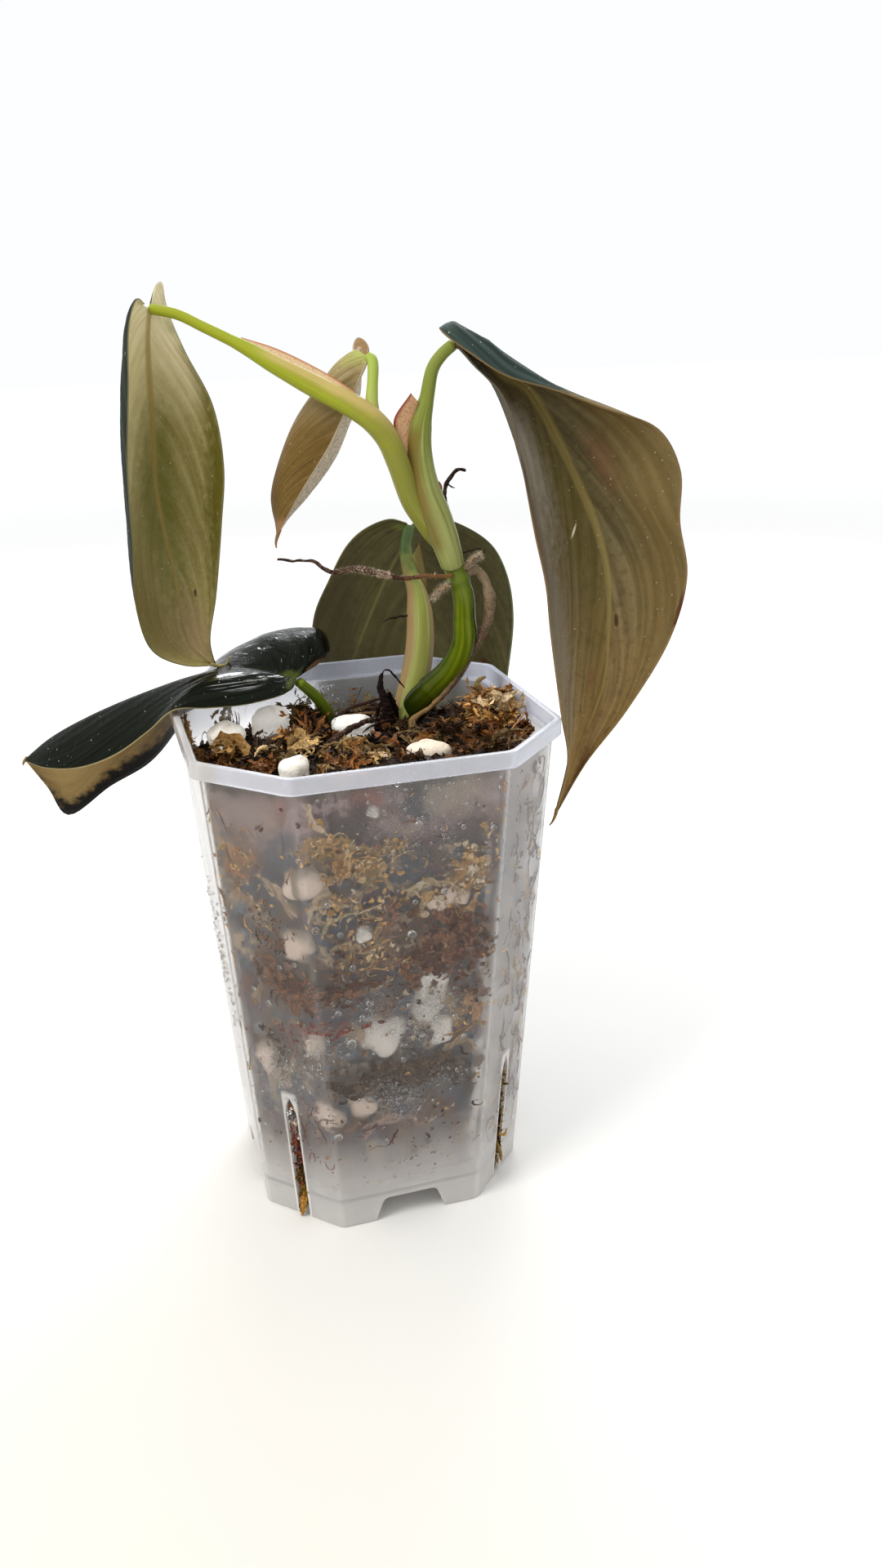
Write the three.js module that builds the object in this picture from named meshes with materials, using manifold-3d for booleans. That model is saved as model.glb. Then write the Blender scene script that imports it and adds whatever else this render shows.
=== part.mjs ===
// A young climbing philodendron in a clear square nursery pot with cut corners.
// Millimetres, +Z up. The origin is the middle of the pot's foot, on the surface it stands on.
// The pot's sides lie along X and Y, and the side seen in front faces -Y.

import * as THREE from 'three';
import { mergeVertices } from 'three/addons/utils/BufferGeometryUtils.js';
import Module from 'manifold-3d';

const wasm = await Module();
wasm.setup();

// Driving dimensions of the pot. A half is half the width across two flat sides,
// and a corner is how far the cut corner reaches along each side.
const POT_HEIGHT = 120;
const BASE_HALF = 32.5;
const BASE_CORNER = 15.5;
const TOP_HALF = 40;
const TOP_CORNER = 16.5;
const WALL = 0.9;
const RIM_OUT = 1.6;
const RIM_BAND = 3.8;
const FLOOR_HEIGHT = 7;
const FLOOR_THICK = 1;
const WELL_HALF = 17;
const WELL_CORNER = 8;
const WELL_TAPER = 1;
const NOTCH_HEIGHT = 6.5;
const NOTCH_TOP = 13;
const NOTCH_FOOT = 17;
const SLOT_WIDTH = 3.2;
const SLOT_HEIGHT = 36;
const SLOT_POINT = 5;
const SLOT_FROM = 27;
const SLOT_TO = 41;
const CUT_PAST = 5;

// Driving dimensions of the plant and its soil
const GAP = 0.3;
const BLADE_THICK = 0.7;
const BLADE_ROWS = 18;
const BLADE_COLUMNS = 10;
const TIP_END = 0.985;
const ROW_CROWDING = 1.35;
const STEADY_FROM = 0.18;
const STEADY_TO = 0.85;
const SHEATH_ROWS = 6;
const SHEATH_COLUMNS = 2;
const SOIL_HEIGHT = 110.5;
const SOIL_FALL = 0.13;
const SOIL_SIDES = 48;
const SOIL_RINGS = [1, 0.9, 0.8, 0.69, 0.58, 0.46, 0.33, 0.18];
const STEM_SIDES = 10;
const ROOT_SIDES = 6;

// Materials
const finish = (color, roughness, more = {}) => (
  new THREE.MeshStandardMaterial({ color, roughness, metalness: 0, ...more })
);
const FROSTED = finish(0xdfe2ea, 0.45, { transparent: true, opacity: 0.45 });
const SOIL = finish(0x5b3d25, 0.95);
const PUMICE = finish(0xe9e4dc, 0.9);
const STEM_GREEN = finish(0x6f9a1d, 0.3);
const STALK_GREEN = finish(0xa3b35a, 0.4);
const YOUNG_BLADE = finish(0x9c805f, 0.5);
const OLIVE_BLADE = finish(0x6b6548, 0.5);
const DARK_BLADE = finish(0x1d2a26, 0.25);
const ROOT_BROWN = finish(0x6d5340, 0.85);
const ROOT_DARK = finish(0x2a1c17, 0.8);

// Solids and geometries
function closed(geometry) {
  geometry.deleteAttribute('normal');
  geometry.deleteAttribute('uv');
  return mergeVertices(geometry, 1e-4);
}

function solidOf(geometry) {
  return new wasm.Manifold(new wasm.Mesh({
    numProp: 3,
    vertProperties: new Float32Array(geometry.attributes.position.array),
    triVerts: new Uint32Array(geometry.index.array),
  }));
}

function largestBody(solid) {
  const bodies = solid.decompose();
  return bodies.reduce((best, body) => (body.volume() > best.volume() ? body : best));
}

function geometryOf(solid) {
  const mesh = solid.getMesh();
  const geometry = new THREE.BufferGeometry();
  geometry.setAttribute('position', new THREE.BufferAttribute(mesh.vertProperties, 3));
  geometry.setIndex(new THREE.BufferAttribute(mesh.triVerts, 1));
  geometry.computeVertexNormals();
  return geometry;
}

const vector = ([x, y, z]) => new THREE.Vector3(x, y, z);

const mix = (from, to, part) => from + (to - from) * part;

// The value at part 0 to 1 of an evenly spaced list
function along(list, part) {
  const place = Math.min(Math.max(part, 0), 1) * (list.length - 1);
  const step = Math.min(Math.floor(place), list.length - 2);
  return mix(list[step], list[step + 1], place - step);
}

// A closed cylinder standing on its first cap, with each vertex moved by place(turn, height, outward, point)
function shapedCylinder(sides, steps, place) {
  const geometry = new THREE.CylinderGeometry(1, 1, 1, sides, steps);
  const at = geometry.attributes.position;
  const point = new THREE.Vector3();
  for (let i = 0; i < at.count; i += 1) {
    const turn = Math.atan2(at.getX(i), at.getZ(i));
    const outward = Math.hypot(at.getX(i), at.getZ(i));
    place(turn, at.getY(i) + 0.5, outward, point);
    at.setXYZ(i, point.x, point.y, point.z);
  }
  return closed(geometry);
}

// The corner of a square with cut corners, counted round from the front of the +X side
function octagonCorner(half, corner, index) {
  const short = half - corner;
  const corners = [
    [half, -short], [half, short], [short, half], [-short, half],
    [-half, short], [-half, -short], [-short, -half], [short, -half],
  ];
  return corners[(index + 8) % 8];
}

// A solid through square sections with cut corners, each given as [height, half, corner]
function octagonSolid(levels) {
  const steps = levels.length - 1;
  return solidOf(shapedCylinder(8, steps, (turn, height, outward, point) => {
    const [z, half, corner] = levels[Math.round(height * steps)];
    const [x, y] = octagonCorner(half, corner, Math.round(turn / (Math.PI / 4)));
    point.set(x * outward, y * outward, z);
  }));
}

// A section [height, half, corner] moved inward by a distance, its cut corners moved in as far
const inset = ([z, half, corner], inward) => [z, half - inward, corner - inward * (2 - Math.SQRT2)];

// The section of the pot's wall at a height, moved inward
function wallLevel(z, inward) {
  const part = z / POT_HEIGHT;
  return inset([z, mix(BASE_HALF, TOP_HALF, part), mix(BASE_CORNER, TOP_CORNER, part)], inward);
}

// A flat outline of [x, y] points given a thickness along +Z
function plate(outline, thickness) {
  const shape = new THREE.Shape(outline.map(([x, y]) => new THREE.Vector2(x, y)));
  return new THREE.ExtrudeGeometry(shape, { depth: thickness, bevelEnabled: false });
}

// The pot: tapering walls with a band round the rim, and a raised floor round a well whose own floor
// stands on the surface
function makePot() {
  const bandFoot = POT_HEIGHT - RIM_BAND;
  const bandLap = 1;
  const floorTop = FLOOR_HEIGHT + FLOOR_THICK;
  const rim = [bandFoot, POT_HEIGHT].map((z) => inset([z, TOP_HALF, TOP_CORNER], -RIM_OUT));
  let pot = octagonSolid([wallLevel(0, 0), wallLevel(bandFoot + bandLap, 0)]);
  pot = pot.add(octagonSolid(rim));
  pot = pot.subtract(octagonSolid([wallLevel(floorTop, WALL), wallLevel(POT_HEIGHT + CUT_PAST, WALL)]));
  const under = octagonSolid([wallLevel(-CUT_PAST, WALL), wallLevel(FLOOR_HEIGHT, WALL)]);
  const well = octagonSolid([
    [-2 * CUT_PAST, WELL_HALF, WELL_CORNER],
    [0, WELL_HALF, WELL_CORNER],
    [floorTop, WELL_HALF + WELL_TAPER, WELL_CORNER],
  ]);
  const hollow = octagonSolid([
    inset([FLOOR_THICK, WELL_HALF, WELL_CORNER], WALL),
    inset([floorTop + CUT_PAST, WELL_HALF + WELL_TAPER, WELL_CORNER], WALL),
  ]);
  pot = pot.subtract(under.subtract(well)).subtract(hollow);

  const bevel = 1.3;
  const notch = [
    [-NOTCH_FOOT / 2, -CUT_PAST], [NOTCH_FOOT / 2, -CUT_PAST], [NOTCH_FOOT / 2, 0],
    [NOTCH_TOP / 2 + bevel / 2, NOTCH_HEIGHT - bevel], [NOTCH_TOP / 2 - bevel / 2, NOTCH_HEIGHT],
    [-NOTCH_TOP / 2 + bevel / 2, NOTCH_HEIGHT], [-NOTCH_TOP / 2 - bevel / 2, NOTCH_HEIGHT - bevel],
    [-NOTCH_FOOT / 2, 0],
  ];
  const slot = [
    [-SLOT_WIDTH / 2, -CUT_PAST], [SLOT_WIDTH / 2, -CUT_PAST], [SLOT_WIDTH / 2, SLOT_HEIGHT - SLOT_POINT],
    [0, SLOT_HEIGHT], [-SLOT_WIDTH / 2, SLOT_HEIGHT - SLOT_POINT],
  ];
  for (let side = 0; side < 4; side += 1) {
    const notchCut = plate(notch, CUT_PAST);
    notchCut.rotateX(Math.PI / 2).translate(0, CUT_PAST / 2 - BASE_HALF, 0).rotateZ(side * Math.PI / 2);
    pot = pot.subtract(solidOf(closed(notchCut)));
    const slotCut = plate(slot, SLOT_TO - SLOT_FROM);
    slotCut.rotateX(Math.PI / 2).translate(0, -SLOT_FROM, 0).rotateZ((side + 0.5) * Math.PI / 2);
    pot = pot.subtract(solidOf(closed(slotCut)));
  }
  return pot;
}

// A round stem along a curve, its radii evenly spaced along it. Extra makes it larger all round, ends too.
function stemSolid(stem, extra = 0) {
  const steps = stem.steps;
  const curve = new THREE.CatmullRomCurve3(stem.path.map(vector));
  const frames = curve.computeFrenetFrames(steps);
  return solidOf(shapedCylinder(stem.sides, steps, (turn, height, outward, point) => {
    const step = Math.round(height * steps);
    const radius = outward * (along(stem.radii, height) + extra);
    curve.getPointAt(height, point);
    if (step === 0) point.addScaledVector(frames.tangents[step], -extra);
    if (step === steps) point.addScaledVector(frames.tangents[step], extra);
    point.addScaledVector(frames.normals[step], Math.cos(turn) * radius);
    point.addScaledVector(frames.binormals[step], Math.sin(turn) * radius);
  }));
}

// A closed sheet of one thickness round the surface place(u, v, point), u from 0 to 1 and v from -1 to 1.
// Both faces have the same triangles, and the upper face looks along the direction of u crossed with v.
function sheetSolid(place, rows, columns, thickness) {
  const plane = new THREE.PlaneGeometry(2, 1, columns, rows);
  const at = plane.attributes.position;
  const point = new THREE.Vector3();
  for (let i = 0; i < at.count; i += 1) {
    place(0.5 - at.getY(i), at.getX(i), point);
    at.setXYZ(i, point.x, point.y, point.z);
  }
  plane.computeVertexNormals();
  const normal = plane.attributes.normal;
  const count = at.count;
  const positions = [];
  for (const side of [0.5, -0.5]) {
    for (let i = 0; i < count; i += 1) {
      positions.push(at.getX(i) + normal.getX(i) * thickness * side);
      positions.push(at.getY(i) + normal.getY(i) * thickness * side);
      positions.push(at.getZ(i) + normal.getZ(i) * thickness * side);
    }
  }
  const upper = Array.from(plane.index.array);
  const lower = upper.map((_, i) => upper[i - (i % 3) + 2 - (i % 3)] + count);
  const cell = (row, column) => row * (columns + 1) + column;
  const edge = [];
  for (let row = 0; row < rows; row += 1) edge.push(cell(row, 0));
  for (let column = 0; column < columns; column += 1) edge.push(cell(rows, column));
  for (let row = rows; row > 0; row -= 1) edge.push(cell(row, columns));
  for (let column = columns; column > 0; column -= 1) edge.push(cell(0, column));
  const rim = edge.flatMap((a, i) => {
    const b = edge[(i + 1) % edge.length];
    return [a, a + count, b + count, a, b + count, b];
  });
  const geometry = new THREE.BufferGeometry();
  geometry.setAttribute('position', new THREE.Float32BufferAttribute(positions, 3));
  geometry.setIndex([...upper, ...lower, ...rim]);
  return solidOf(mergeVertices(geometry, 1e-4));
}

// The surface of a leaf: each row runs from a place on the midrib out to the edge of one half.
// The edge starts at the stalk, goes round the rear lobe and on to the tip. A leaf's sweep slants the rows:
// above 1 they leave the midrib behind the place where they meet the edge. The direction of the bulge is
// read where the rows are long, and kept from there to both ends.
function bladeSurface(leaf) {
  const midrib = new THREE.CatmullRomCurve3(leaf.midrib.map(vector));
  const halves = [leaf.right, leaf.left].map((half) => ({
    edge: new THREE.CatmullRomCurve3(half.edge.map(vector)),
    bulge: half.bulge,
  }));
  const rib = new THREE.Vector3();
  const chord = new THREE.Vector3();
  const lift = new THREE.Vector3();
  return (part, v, point) => {
    const u = TIP_END * part ** ROW_CROWDING;
    const { edge, bulge } = halves[v < 0 ? 0 : 1];
    const steady = Math.min(Math.max(u, STEADY_FROM), STEADY_TO);
    midrib.getPointAt(steady ** leaf.sweep, rib);
    edge.getPointAt(steady, chord).sub(rib);
    lift.crossVectors(midrib.getTangentAt(steady ** leaf.sweep), chord).normalize();
    if (v < 0) lift.negate();
    const outward = Math.abs(v);
    midrib.getPointAt(u ** leaf.sweep, rib);
    edge.getPointAt(u, chord).sub(rib);
    point.copy(rib).addScaledVector(chord, outward);
    point.addScaledVector(lift, 4 * along(bulge, u) * outward * (1 - outward));
  };
}

// A thin sheet between an inner line and an outer edge
function sheathSolid({ inner, outer }, extra = 0) {
  const from = new THREE.CatmullRomCurve3(inner.map(vector));
  const to = new THREE.CatmullRomCurve3(outer.map(vector));
  const edge = new THREE.Vector3();
  const place = (u, v, point) => {
    from.getPoint(u, point);
    to.getPoint(u, edge);
    const reach = 1 + extra / point.distanceTo(edge);
    point.lerp(edge, reach * (v + 1) / 2);
  };
  return sheetSolid(place, SHEATH_ROWS, SHEATH_COLUMNS, BLADE_THICK + 2 * extra);
}

const bladeSolid = (leaf, extra = 0) => (
  sheetSolid(bladeSurface(leaf), BLADE_ROWS, BLADE_COLUMNS, BLADE_THICK + 2 * extra)
);

// The leaves, each with its midrib from the stalk to the tip and the edges of its two halves.
// Left is the left half for one who looks at the upper face with the tip pointing away.
const LEAVES = {
  left: {
    sweep: 1.7,
    material: OLIVE_BLADE,
    midrib: [[-36.5, 23.5, 207.5], [-37.5, 27, 199], [-38, 30, 184], [-38.5, 30.5, 168],
      [-36.5, 28.5, 150], [-34.5, 25, 133], [-29.5, 21.5, 127.5]],
    left: {
      edge: [[-37.5, 22.5, 208.5], [-39, 20, 209.5], [-41.5, 15.5, 205], [-43.5, 12, 191],
        [-45.5, 11.5, 174.5], [-46, 14, 158], [-46.5, 18, 142.5], [-43.5, 21.5, 132], [-36.5, 22, 128],
        [-29.5, 21.5, 127.5]],
      bulge: [1, 3, 4, 4, 4, 4, 3, 1],
    },
    right: {
      edge: [[-36, 25, 208.5], [-34.5, 27, 212], [-33, 28.5, 213], [-32.5, 27.5, 208.5], [-30, 22.5, 199],
        [-25.5, 17, 187.5], [-24.5, 14.5, 174.5], [-26, 15, 162], [-28.5, 17, 145], [-30.5, 19.5, 134],
        [-29.5, 21.5, 127.5]],
      bulge: [0, 0, 2, 3, 3, 3, 2, 0],
    },
  },
  new: {
    sweep: 1.5,
    material: YOUNG_BLADE,
    midrib: [[8.5, 11, 196.5], [6.5, 12, 190], [4, 13.5, 183], [1.5, 14.5, 177.5], [-2.5, 16.5, 171],
      [-6.5, 17.5, 165], [-10, 18.5, 159.5], [-13, 19.5, 155]],
    left: {
      edge: [[7.5, 12, 197.5], [6.5, 14, 198], [3, 17, 195.5], [0.5, 18.5, 192.5], [-6, 22.5, 183.5],
        [-10, 25, 174.5], [-12.5, 25.5, 165.5], [-12.5, 24.5, 161.5], [-12.5, 21.5, 158],
        [-13, 19.5, 155]],
      bulge: [0, -2, -3, -3, -3, -2, 0],
    },
    right: {
      edge: [[9, 13, 197.5], [8, 17, 200], [10.5, 20, 196.5], [9.5, 23.5, 188.5], [7.5, 25, 181],
        [5, 25.5, 173], [2, 25.5, 168.5], [-1.5, 25.5, 164.5], [-5, 24.5, 161.5], [-9, 22.5, 159],
        [-13, 19.5, 155]],
      bulge: [0, -1, -2, -2, -2, -1, 0],
    },
  },
  right: {
    sweep: 1.7,
    material: OLIVE_BLADE,
    midrib: [[26.5, 4.5, 199], [31, 5.5, 197.5], [37.5, 6.5, 192.5], [43.5, 7.5, 190], [51, 8, 179.5],
      [56.5, 7, 169], [61, 6, 159], [64, 4, 147], [64, 2, 134.5], [62, -0.5, 119.5], [56, -3, 106.5],
      [47.5, -6, 88.5]],
    left: {
      edge: [[27, 3.5, 198], [27.5, 1.5, 197.5], [30, -2.5, 193.5], [33.5, -5, 189.5], [36, -6.5, 184],
        [38, -8, 172.5], [40.5, -9, 158.5], [43, -9.5, 147], [44.5, -9, 135.5], [47.5, -9, 115],
        [49.5, -8.5, 103.5], [47.5, -6, 88.5]],
      bulge: [0, 2, 3, 4, 4, 4, 3, 2, 0],
    },
    right: {
      edge: [[25.5, 3, 200.3], [22, 0.5, 202.3], [22, -3.5, 201], [27, -6, 197], [34, -8, 192.5],
        [44.5, -10, 189.3], [55, -12, 185.3], [67, -15, 180.5], [72.5, -15.5, 171.5], [73.5, -14.5, 160],
        [76, -14.5, 147.5], [73.5, -12.5, 132.5], [64.5, -9, 114.5], [55, -6, 100.5], [47.5, -6, 88.5]],
      bulge: [3, 4.5, 1.5, 1.5, 3, 4, 4, 2, 0],
    },
  },
  back: {
    sweep: 1.8,
    material: OLIVE_BLADE,
    midrib: [[26, 44.5, 153], [27.5, 49, 142.5], [29, 52, 126.5], [31, 51.5, 105], [34.5, 48, 83.5],
      [38.5, 45, 62.5]],
    left: {
      edge: [[25, 43.5, 154.5], [21, 45, 155.5], [14.5, 47, 153], [10, 48, 149], [5, 49.5, 140],
        [0.5, 51, 129.5], [0, 51, 113], [4.5, 50, 96.5], [17, 47, 76.5], [38.5, 45, 62.5]],
      bulge: [0, 1, 2, 2, 2, 1, 0],
    },
    right: {
      edge: [[27.5, 45, 154], [33, 46.5, 155], [41, 47, 152.5], [49.5, 46, 146.5], [53, 43.5, 138.5],
        [54, 41.5, 127.5], [52.5, 42, 111], [50, 42, 94.5], [45, 42, 77.5], [38.5, 45, 62.5]],
      bulge: [0, 1, 2, 3, 3, 2, 0],
    },
  },
  front: {
    sweep: 1.7,
    material: DARK_BLADE,
    midrib: [[-11.5, 14, 124.5], [-17.5, 14.5, 126.5], [-25, 16.5, 127.5], [-33.5, 19, 126.5],
      [-46, 22.5, 122.5], [-60, 27, 116.5], [-70, 31.5, 110.5], [-76.5, 34, 105]],
    left: {
      edge: [[-13, 11, 123], [-16, 8, 122.5], [-25.5, 6.5, 121.5], [-34, 7, 121.5], [-41.5, 8, 121.5],
        [-47.5, 10, 116.5], [-55.5, 13.5, 110.5], [-64, 19, 106.5], [-72, 26.5, 105], [-76.5, 34, 105]],
      bulge: [0, 1, 2, 2, 2, 2, 1, 0],
    },
    right: {
      edge: [[-10, 15.5, 125], [-5.5, 18.5, 126], [-1.5, 22.5, 128], [-1.5, 28.5, 131.5],
        [-7.5, 36.5, 130.5], [-17.5, 42.5, 126], [-29, 46, 119], [-37.5, 47, 105.5], [-46, 46.5, 96.5],
        [-57, 46.5, 91], [-68.5, 47.5, 84], [-72.5, 42.5, 94], [-76.5, 34, 105]],
      bulge: [0, 4.5, 4.5, 2, 3, 4, 2, 0],
    },
  },
};

// The stem and the leaf stalks, from the foot up
const STEM = {
  steps: 22,
  sides: STEM_SIDES,
  radii: [2.6, 3, 3.2, 3, 2.7, 2.4, 2.3, 2.3],
  path: [[9, 21, 88], [12, 19, 102], [16.5, 16, 112], [21.5, 13, 118.5], [26, 10, 124], [28.5, 7.5, 131],
    [28.5, 6.5, 137.5], [28, 5.5, 143], [26, 6, 149.5]],
};

const STALKS = {
  right: {
    steps: 20,
    sides: STEM_SIDES,
    radii: [2.8, 3.4, 3.5, 3.4, 3.1, 2.7, 1.6, 1.4, 1.2],
    path: [[25.7, 6, 150.2], [25, 5.5, 152.5], [22.5, 6, 160.5], [19.5, 6.5, 168.5], [18.5, 7, 176],
      [19, 7, 182], [20.5, 6.5, 187.5], [22, 6, 194], [24, 5.5, 196.8], [25.9, 4.8, 198.4]],
  },
  left: {
    steps: 24,
    sides: STEM_SIDES,
    radii: [1.6, 2, 2.3, 2.6, 2.7, 2.6, 2.4, 1.9, 1.2, 1.1, 1.1],
    path: [[18.5, 3, 160], [15, 3.5, 166], [12.5, 3.5, 175], [10.5, 4, 180], [7.5, 5, 183.8],
      [2.5, 7.5, 187.5], [-2, 10, 190], [-11, 13.5, 195.2], [-18, 17, 199.5], [-25.5, 20, 203.5],
      [-31, 22, 206.3], [-35.8, 23.3, 207.3]],
  },
  new: {
    steps: 8,
    sides: 8,
    radii: [1.6, 1.4, 1.2, 1.2, 1.1],
    path: [[8, 6, 185], [8, 6.5, 187.5], [8.5, 7.5, 190.5], [9.2, 9, 194.5], [9.3, 10, 196],
      [8.9, 10.5, 196.5]],
  },
  back: {
    steps: 20,
    sides: STEM_SIDES,
    radii: [2.2, 2.8, 3.4, 3.7, 3.6, 3.3, 1.9, 1.4, 1.4],
    path: [[12, 21.5, 98], [16, 18, 111], [17.5, 20, 114.5], [20.5, 22, 120.5], [22.5, 24.5, 126.5],
      [23.5, 27.5, 132.5], [24, 31.5, 138.5], [23.5, 36, 143.5], [24, 41, 148.5], [25.6, 43.9, 152.3]],
  },
  front: {
    steps: 12,
    sides: 8,
    radii: [1.5, 1.5, 1.5, 1.4, 1.2],
    path: [[2, 25, 97], [-2, 23.5, 108], [-2.5, 22.5, 111.5], [-5.5, 19.5, 117], [-9.5, 15.5, 122],
      [-10.8, 14.5, 123.6]],
  },
};

// The free tips of the sheaths that wrap the stalks, each a thin sheet from a line in the stalk to its own edge
const SHEATH_TIPS = {
  right: {
    inner: [[16, 6.5, 174], [17.5, 6.5, 180.5], [18.8, 6, 186.5]],
    outer: [[14.5, 5.5, 177.5], [12.5, 5.5, 183], [16.5, 5, 189]],
  },
  left: {
    inner: [[4.5, 8, 186.5], [-1, 10.5, 190.5], [-11, 14, 195.7], [-16, 16, 198.5]],
    outer: [[5, 9.5, 189.5], [-1, 13, 193.7], [-10.5, 16, 198.7], [-18, 18, 201.3]],
  },
  back: {
    inner: [[24.5, 32.5, 137.5], [24.5, 35.5, 143], [24.5, 37.5, 146.5]],
    outer: [[27, 31.5, 138], [27.5, 34.5, 143], [27, 37.5, 150.5]],
  },
};

// The aerial roots from the ring at the top of the stem
const ROOTS = {
  long: {
    steps: 22,
    sides: ROOT_SIDES,
    radii: [0.6, 0.6, 0.6, 0.9, 0.9, 0.6, 0.4, 0.35],
    path: [[25, 4, 148], [16.5, -0.5, 149.5], [11.5, -3.5, 150], [6.5, -5, 151.5], [-0.5, -6, 153.5],
      [-4.5, -5, 153], [-7, -4, 153.5], [-8.5, -2.5, 155], [-11, -1, 155.5], [-13.5, 1, 155],
      [-16, 1.5, 155.5]],
  },
  upright: {
    steps: 14,
    sides: ROOT_SIDES,
    radii: [0.6, 0.5, 0.45, 0.4, 0.35],
    path: [[28, 7.5, 148.5], [27.5, 11.5, 155], [26.5, 14, 160.5], [26.5, 15, 164], [27.5, 16, 166.5],
      [29.5, 16.5, 169], [31, 16, 170], [33, 15.5, 169.5]],
  },
  hanging: {
    steps: 24,
    sides: ROOT_SIDES,
    radii: [1.1, 1.2, 1.1, 0.9, 0.8, 0.7, 0.7],
    path: [[29, 6, 148], [31.5, 6.5, 148.5], [33.5, 6, 146], [34.5, 5.5, 142.5], [34.5, 5.5, 138],
      [33, 6, 133], [31, 6.5, 129], [28, 7.5, 124.5], [25, 8.5, 119.5], [20.5, 9.5, 115],
      [16.5, 10.5, 112], [15.5, 9.5, 109.5]],
  },
};

// Roots inside the soil, grown from the buried end of the stem
const BURIED_ROOTS = [
  [[9, 21, 90], [-6, 8, 78], [-14, -8, 56], [-20, -20, 32], [-23.5, -23.5, 16]],
  [[9, 21, 90], [18, 8, 74], [22, -8, 52], [22, -18, 36], [23.5, -23.5, 20]],
  [[9, 21, 90], [14, 26, 70], [10, 20, 44], [0, 8, 20]],
  [[9, 21, 90], [-8, 26, 76], [-20, 18, 52], [-16, 10, 30]],
].map((path) => ({ path, radii: [1.2, 1, 0.9, 0.7], steps: 12, sides: ROOT_SIDES }));

// A dead stalk, and an old root that crosses the soil
const DEAD_STALK = {
  steps: 6,
  sides: 7,
  radii: [1.2, 1.5, 1.3, 0.8],
  path: [[10, 13.5, 107], [11, 12.5, 112], [11, 11.5, 117], [9.2, 11.3, 122]],
};
const SURFACE_ROOT = {
  steps: 14,
  sides: ROOT_SIDES,
  radii: [0.5, 0.7, 0.7, 0.5],
  path: [[8, 15, 108], [6.5, 9, 113.5], [2, 3.5, 115], [-4.5, -0.5, 114], [-8.5, -2.5, 112.5],
    [-11, -4, 109.5]],
};

// Pumice on the soil: middle, half sizes along X, Y and Z, and a turn about Z in degrees
const PUMICE_STONES = [
  { middle: [-29.5, 12, 112], half: [4.6, 4, 4.4], turn: 20 },
  { middle: [-18, 17, 112.5], half: [5.2, 4, 4.6], turn: -15 },
  { middle: [1, 11, 111.3], half: [6, 4.2, 3.2], turn: -12 },
  { middle: [-19, -20, 113.5], half: [3.8, 3, 3.4], turn: 35 },
  { middle: [11.5, -19, 113.5], half: [4.6, 3.4, 3.4], turn: -20 },
  { middle: [0.5, -18.5, 113], half: [2, 1.8, 2.2], turn: 0 },
];

// Humps and hollows of the soil: [x, y, height, spread]. The largest is a tuft of moss at the right.
const SOIL_HUMPS = [
  [34, 12, 7, 7], [22, -6, 1.5, 9], [-8, 14, 2.5, 8], [-12, 4, 2, 6], [-31, -2, 1, 7], [5, -2, -2.5, 6],
  [14, 18, 1, 6], [31, -12, 1, 6], [-20, -18, -2, 6],
];

// The top of the soil: it falls towards the back, with small lumps and the humps
function soilHeight(x, y) {
  const lumps = 0.7 * Math.sin(x * 0.55 + 1) * Math.cos(y * 0.6) + 0.4 * Math.sin(x * 1.1 - y * 0.9);
  const humps = SOIL_HUMPS.map(([hx, hy, high, spread]) => (
    high * Math.exp(-((x - hx) ** 2 + (y - hy) ** 2) / (spread * spread))
  ));
  return SOIL_HEIGHT - SOIL_FALL * y + lumps + humps.reduce((sum, hump) => sum + hump, 0);
}

// The distance from the middle to the edge of a square with cut corners, towards one turn
function octagonReach(half, corner, turn) {
  const across = Math.abs(Math.cos(turn));
  const deep = Math.abs(Math.sin(turn));
  return Math.min(half / Math.max(across, deep), (2 * half - corner) / (across + deep));
}

// The soil fills the pot to its lumpy top, which is built of rings round the middle
function makeSoil() {
  const foot = FLOOR_HEIGHT + FLOOR_THICK + GAP;
  const steps = SOIL_RINGS.length;
  const [, footHalf, footCorner] = wallLevel(foot, WALL + GAP);
  const body = solidOf(shapedCylinder(SOIL_SIDES, steps, (turn, height, outward, point) => {
    const step = Math.round(height * steps);
    if (step === 0) {
      const reach = outward * octagonReach(footHalf, footCorner, turn);
      point.set(reach * Math.cos(turn), reach * Math.sin(turn), foot);
      return;
    }
    const level = SOIL_HEIGHT - SOIL_FALL * TOP_HALF * Math.sin(turn);
    const [, half, corner] = wallLevel(level, WALL + 2 * GAP);
    const reach = outward * SOIL_RINGS[step - 1] * octagonReach(half, corner, turn);
    point.set(reach * Math.cos(turn), reach * Math.sin(turn), 0);
    point.z = soilHeight(point.x, point.y);
  }));
  const inWell = octagonSolid([
    inset([FLOOR_THICK + GAP, WELL_HALF, WELL_CORNER], WALL + GAP),
    inset([FLOOR_HEIGHT + CUT_PAST, WELL_HALF, WELL_CORNER], WALL + GAP),
  ]);
  return body.add(inWell);
}

// A stone of pumice: a ball of flat facets, made knobbly
function pumiceSolid({ middle, half, turn }, extra = 0) {
  const geometry = new THREE.IcosahedronGeometry(1, 1);
  const at = geometry.attributes.position;
  for (let i = 0; i < at.count; i += 1) {
    const [x, y, z] = [at.getX(i), at.getY(i), at.getZ(i)];
    const knob = 1 + 0.1 * Math.sin(3 * x + middle[0]) * Math.cos(4 * y) + 0.07 * Math.sin(5 * z + middle[1]);
    at.setXYZ(i, x * (knob * half[0] + extra), y * (knob * half[1] + extra), z * (knob * half[2] + extra));
  }
  geometry.rotateZ(THREE.MathUtils.degToRad(turn));
  geometry.translate(...middle);
  return solidOf(closed(geometry));
}

// The assembly
const group = new THREE.Group();

function addNode(name, solid, material) {
  const mesh = new THREE.Mesh(geometryOf(solid), material);
  mesh.name = name;
  group.add(mesh);
}

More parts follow.
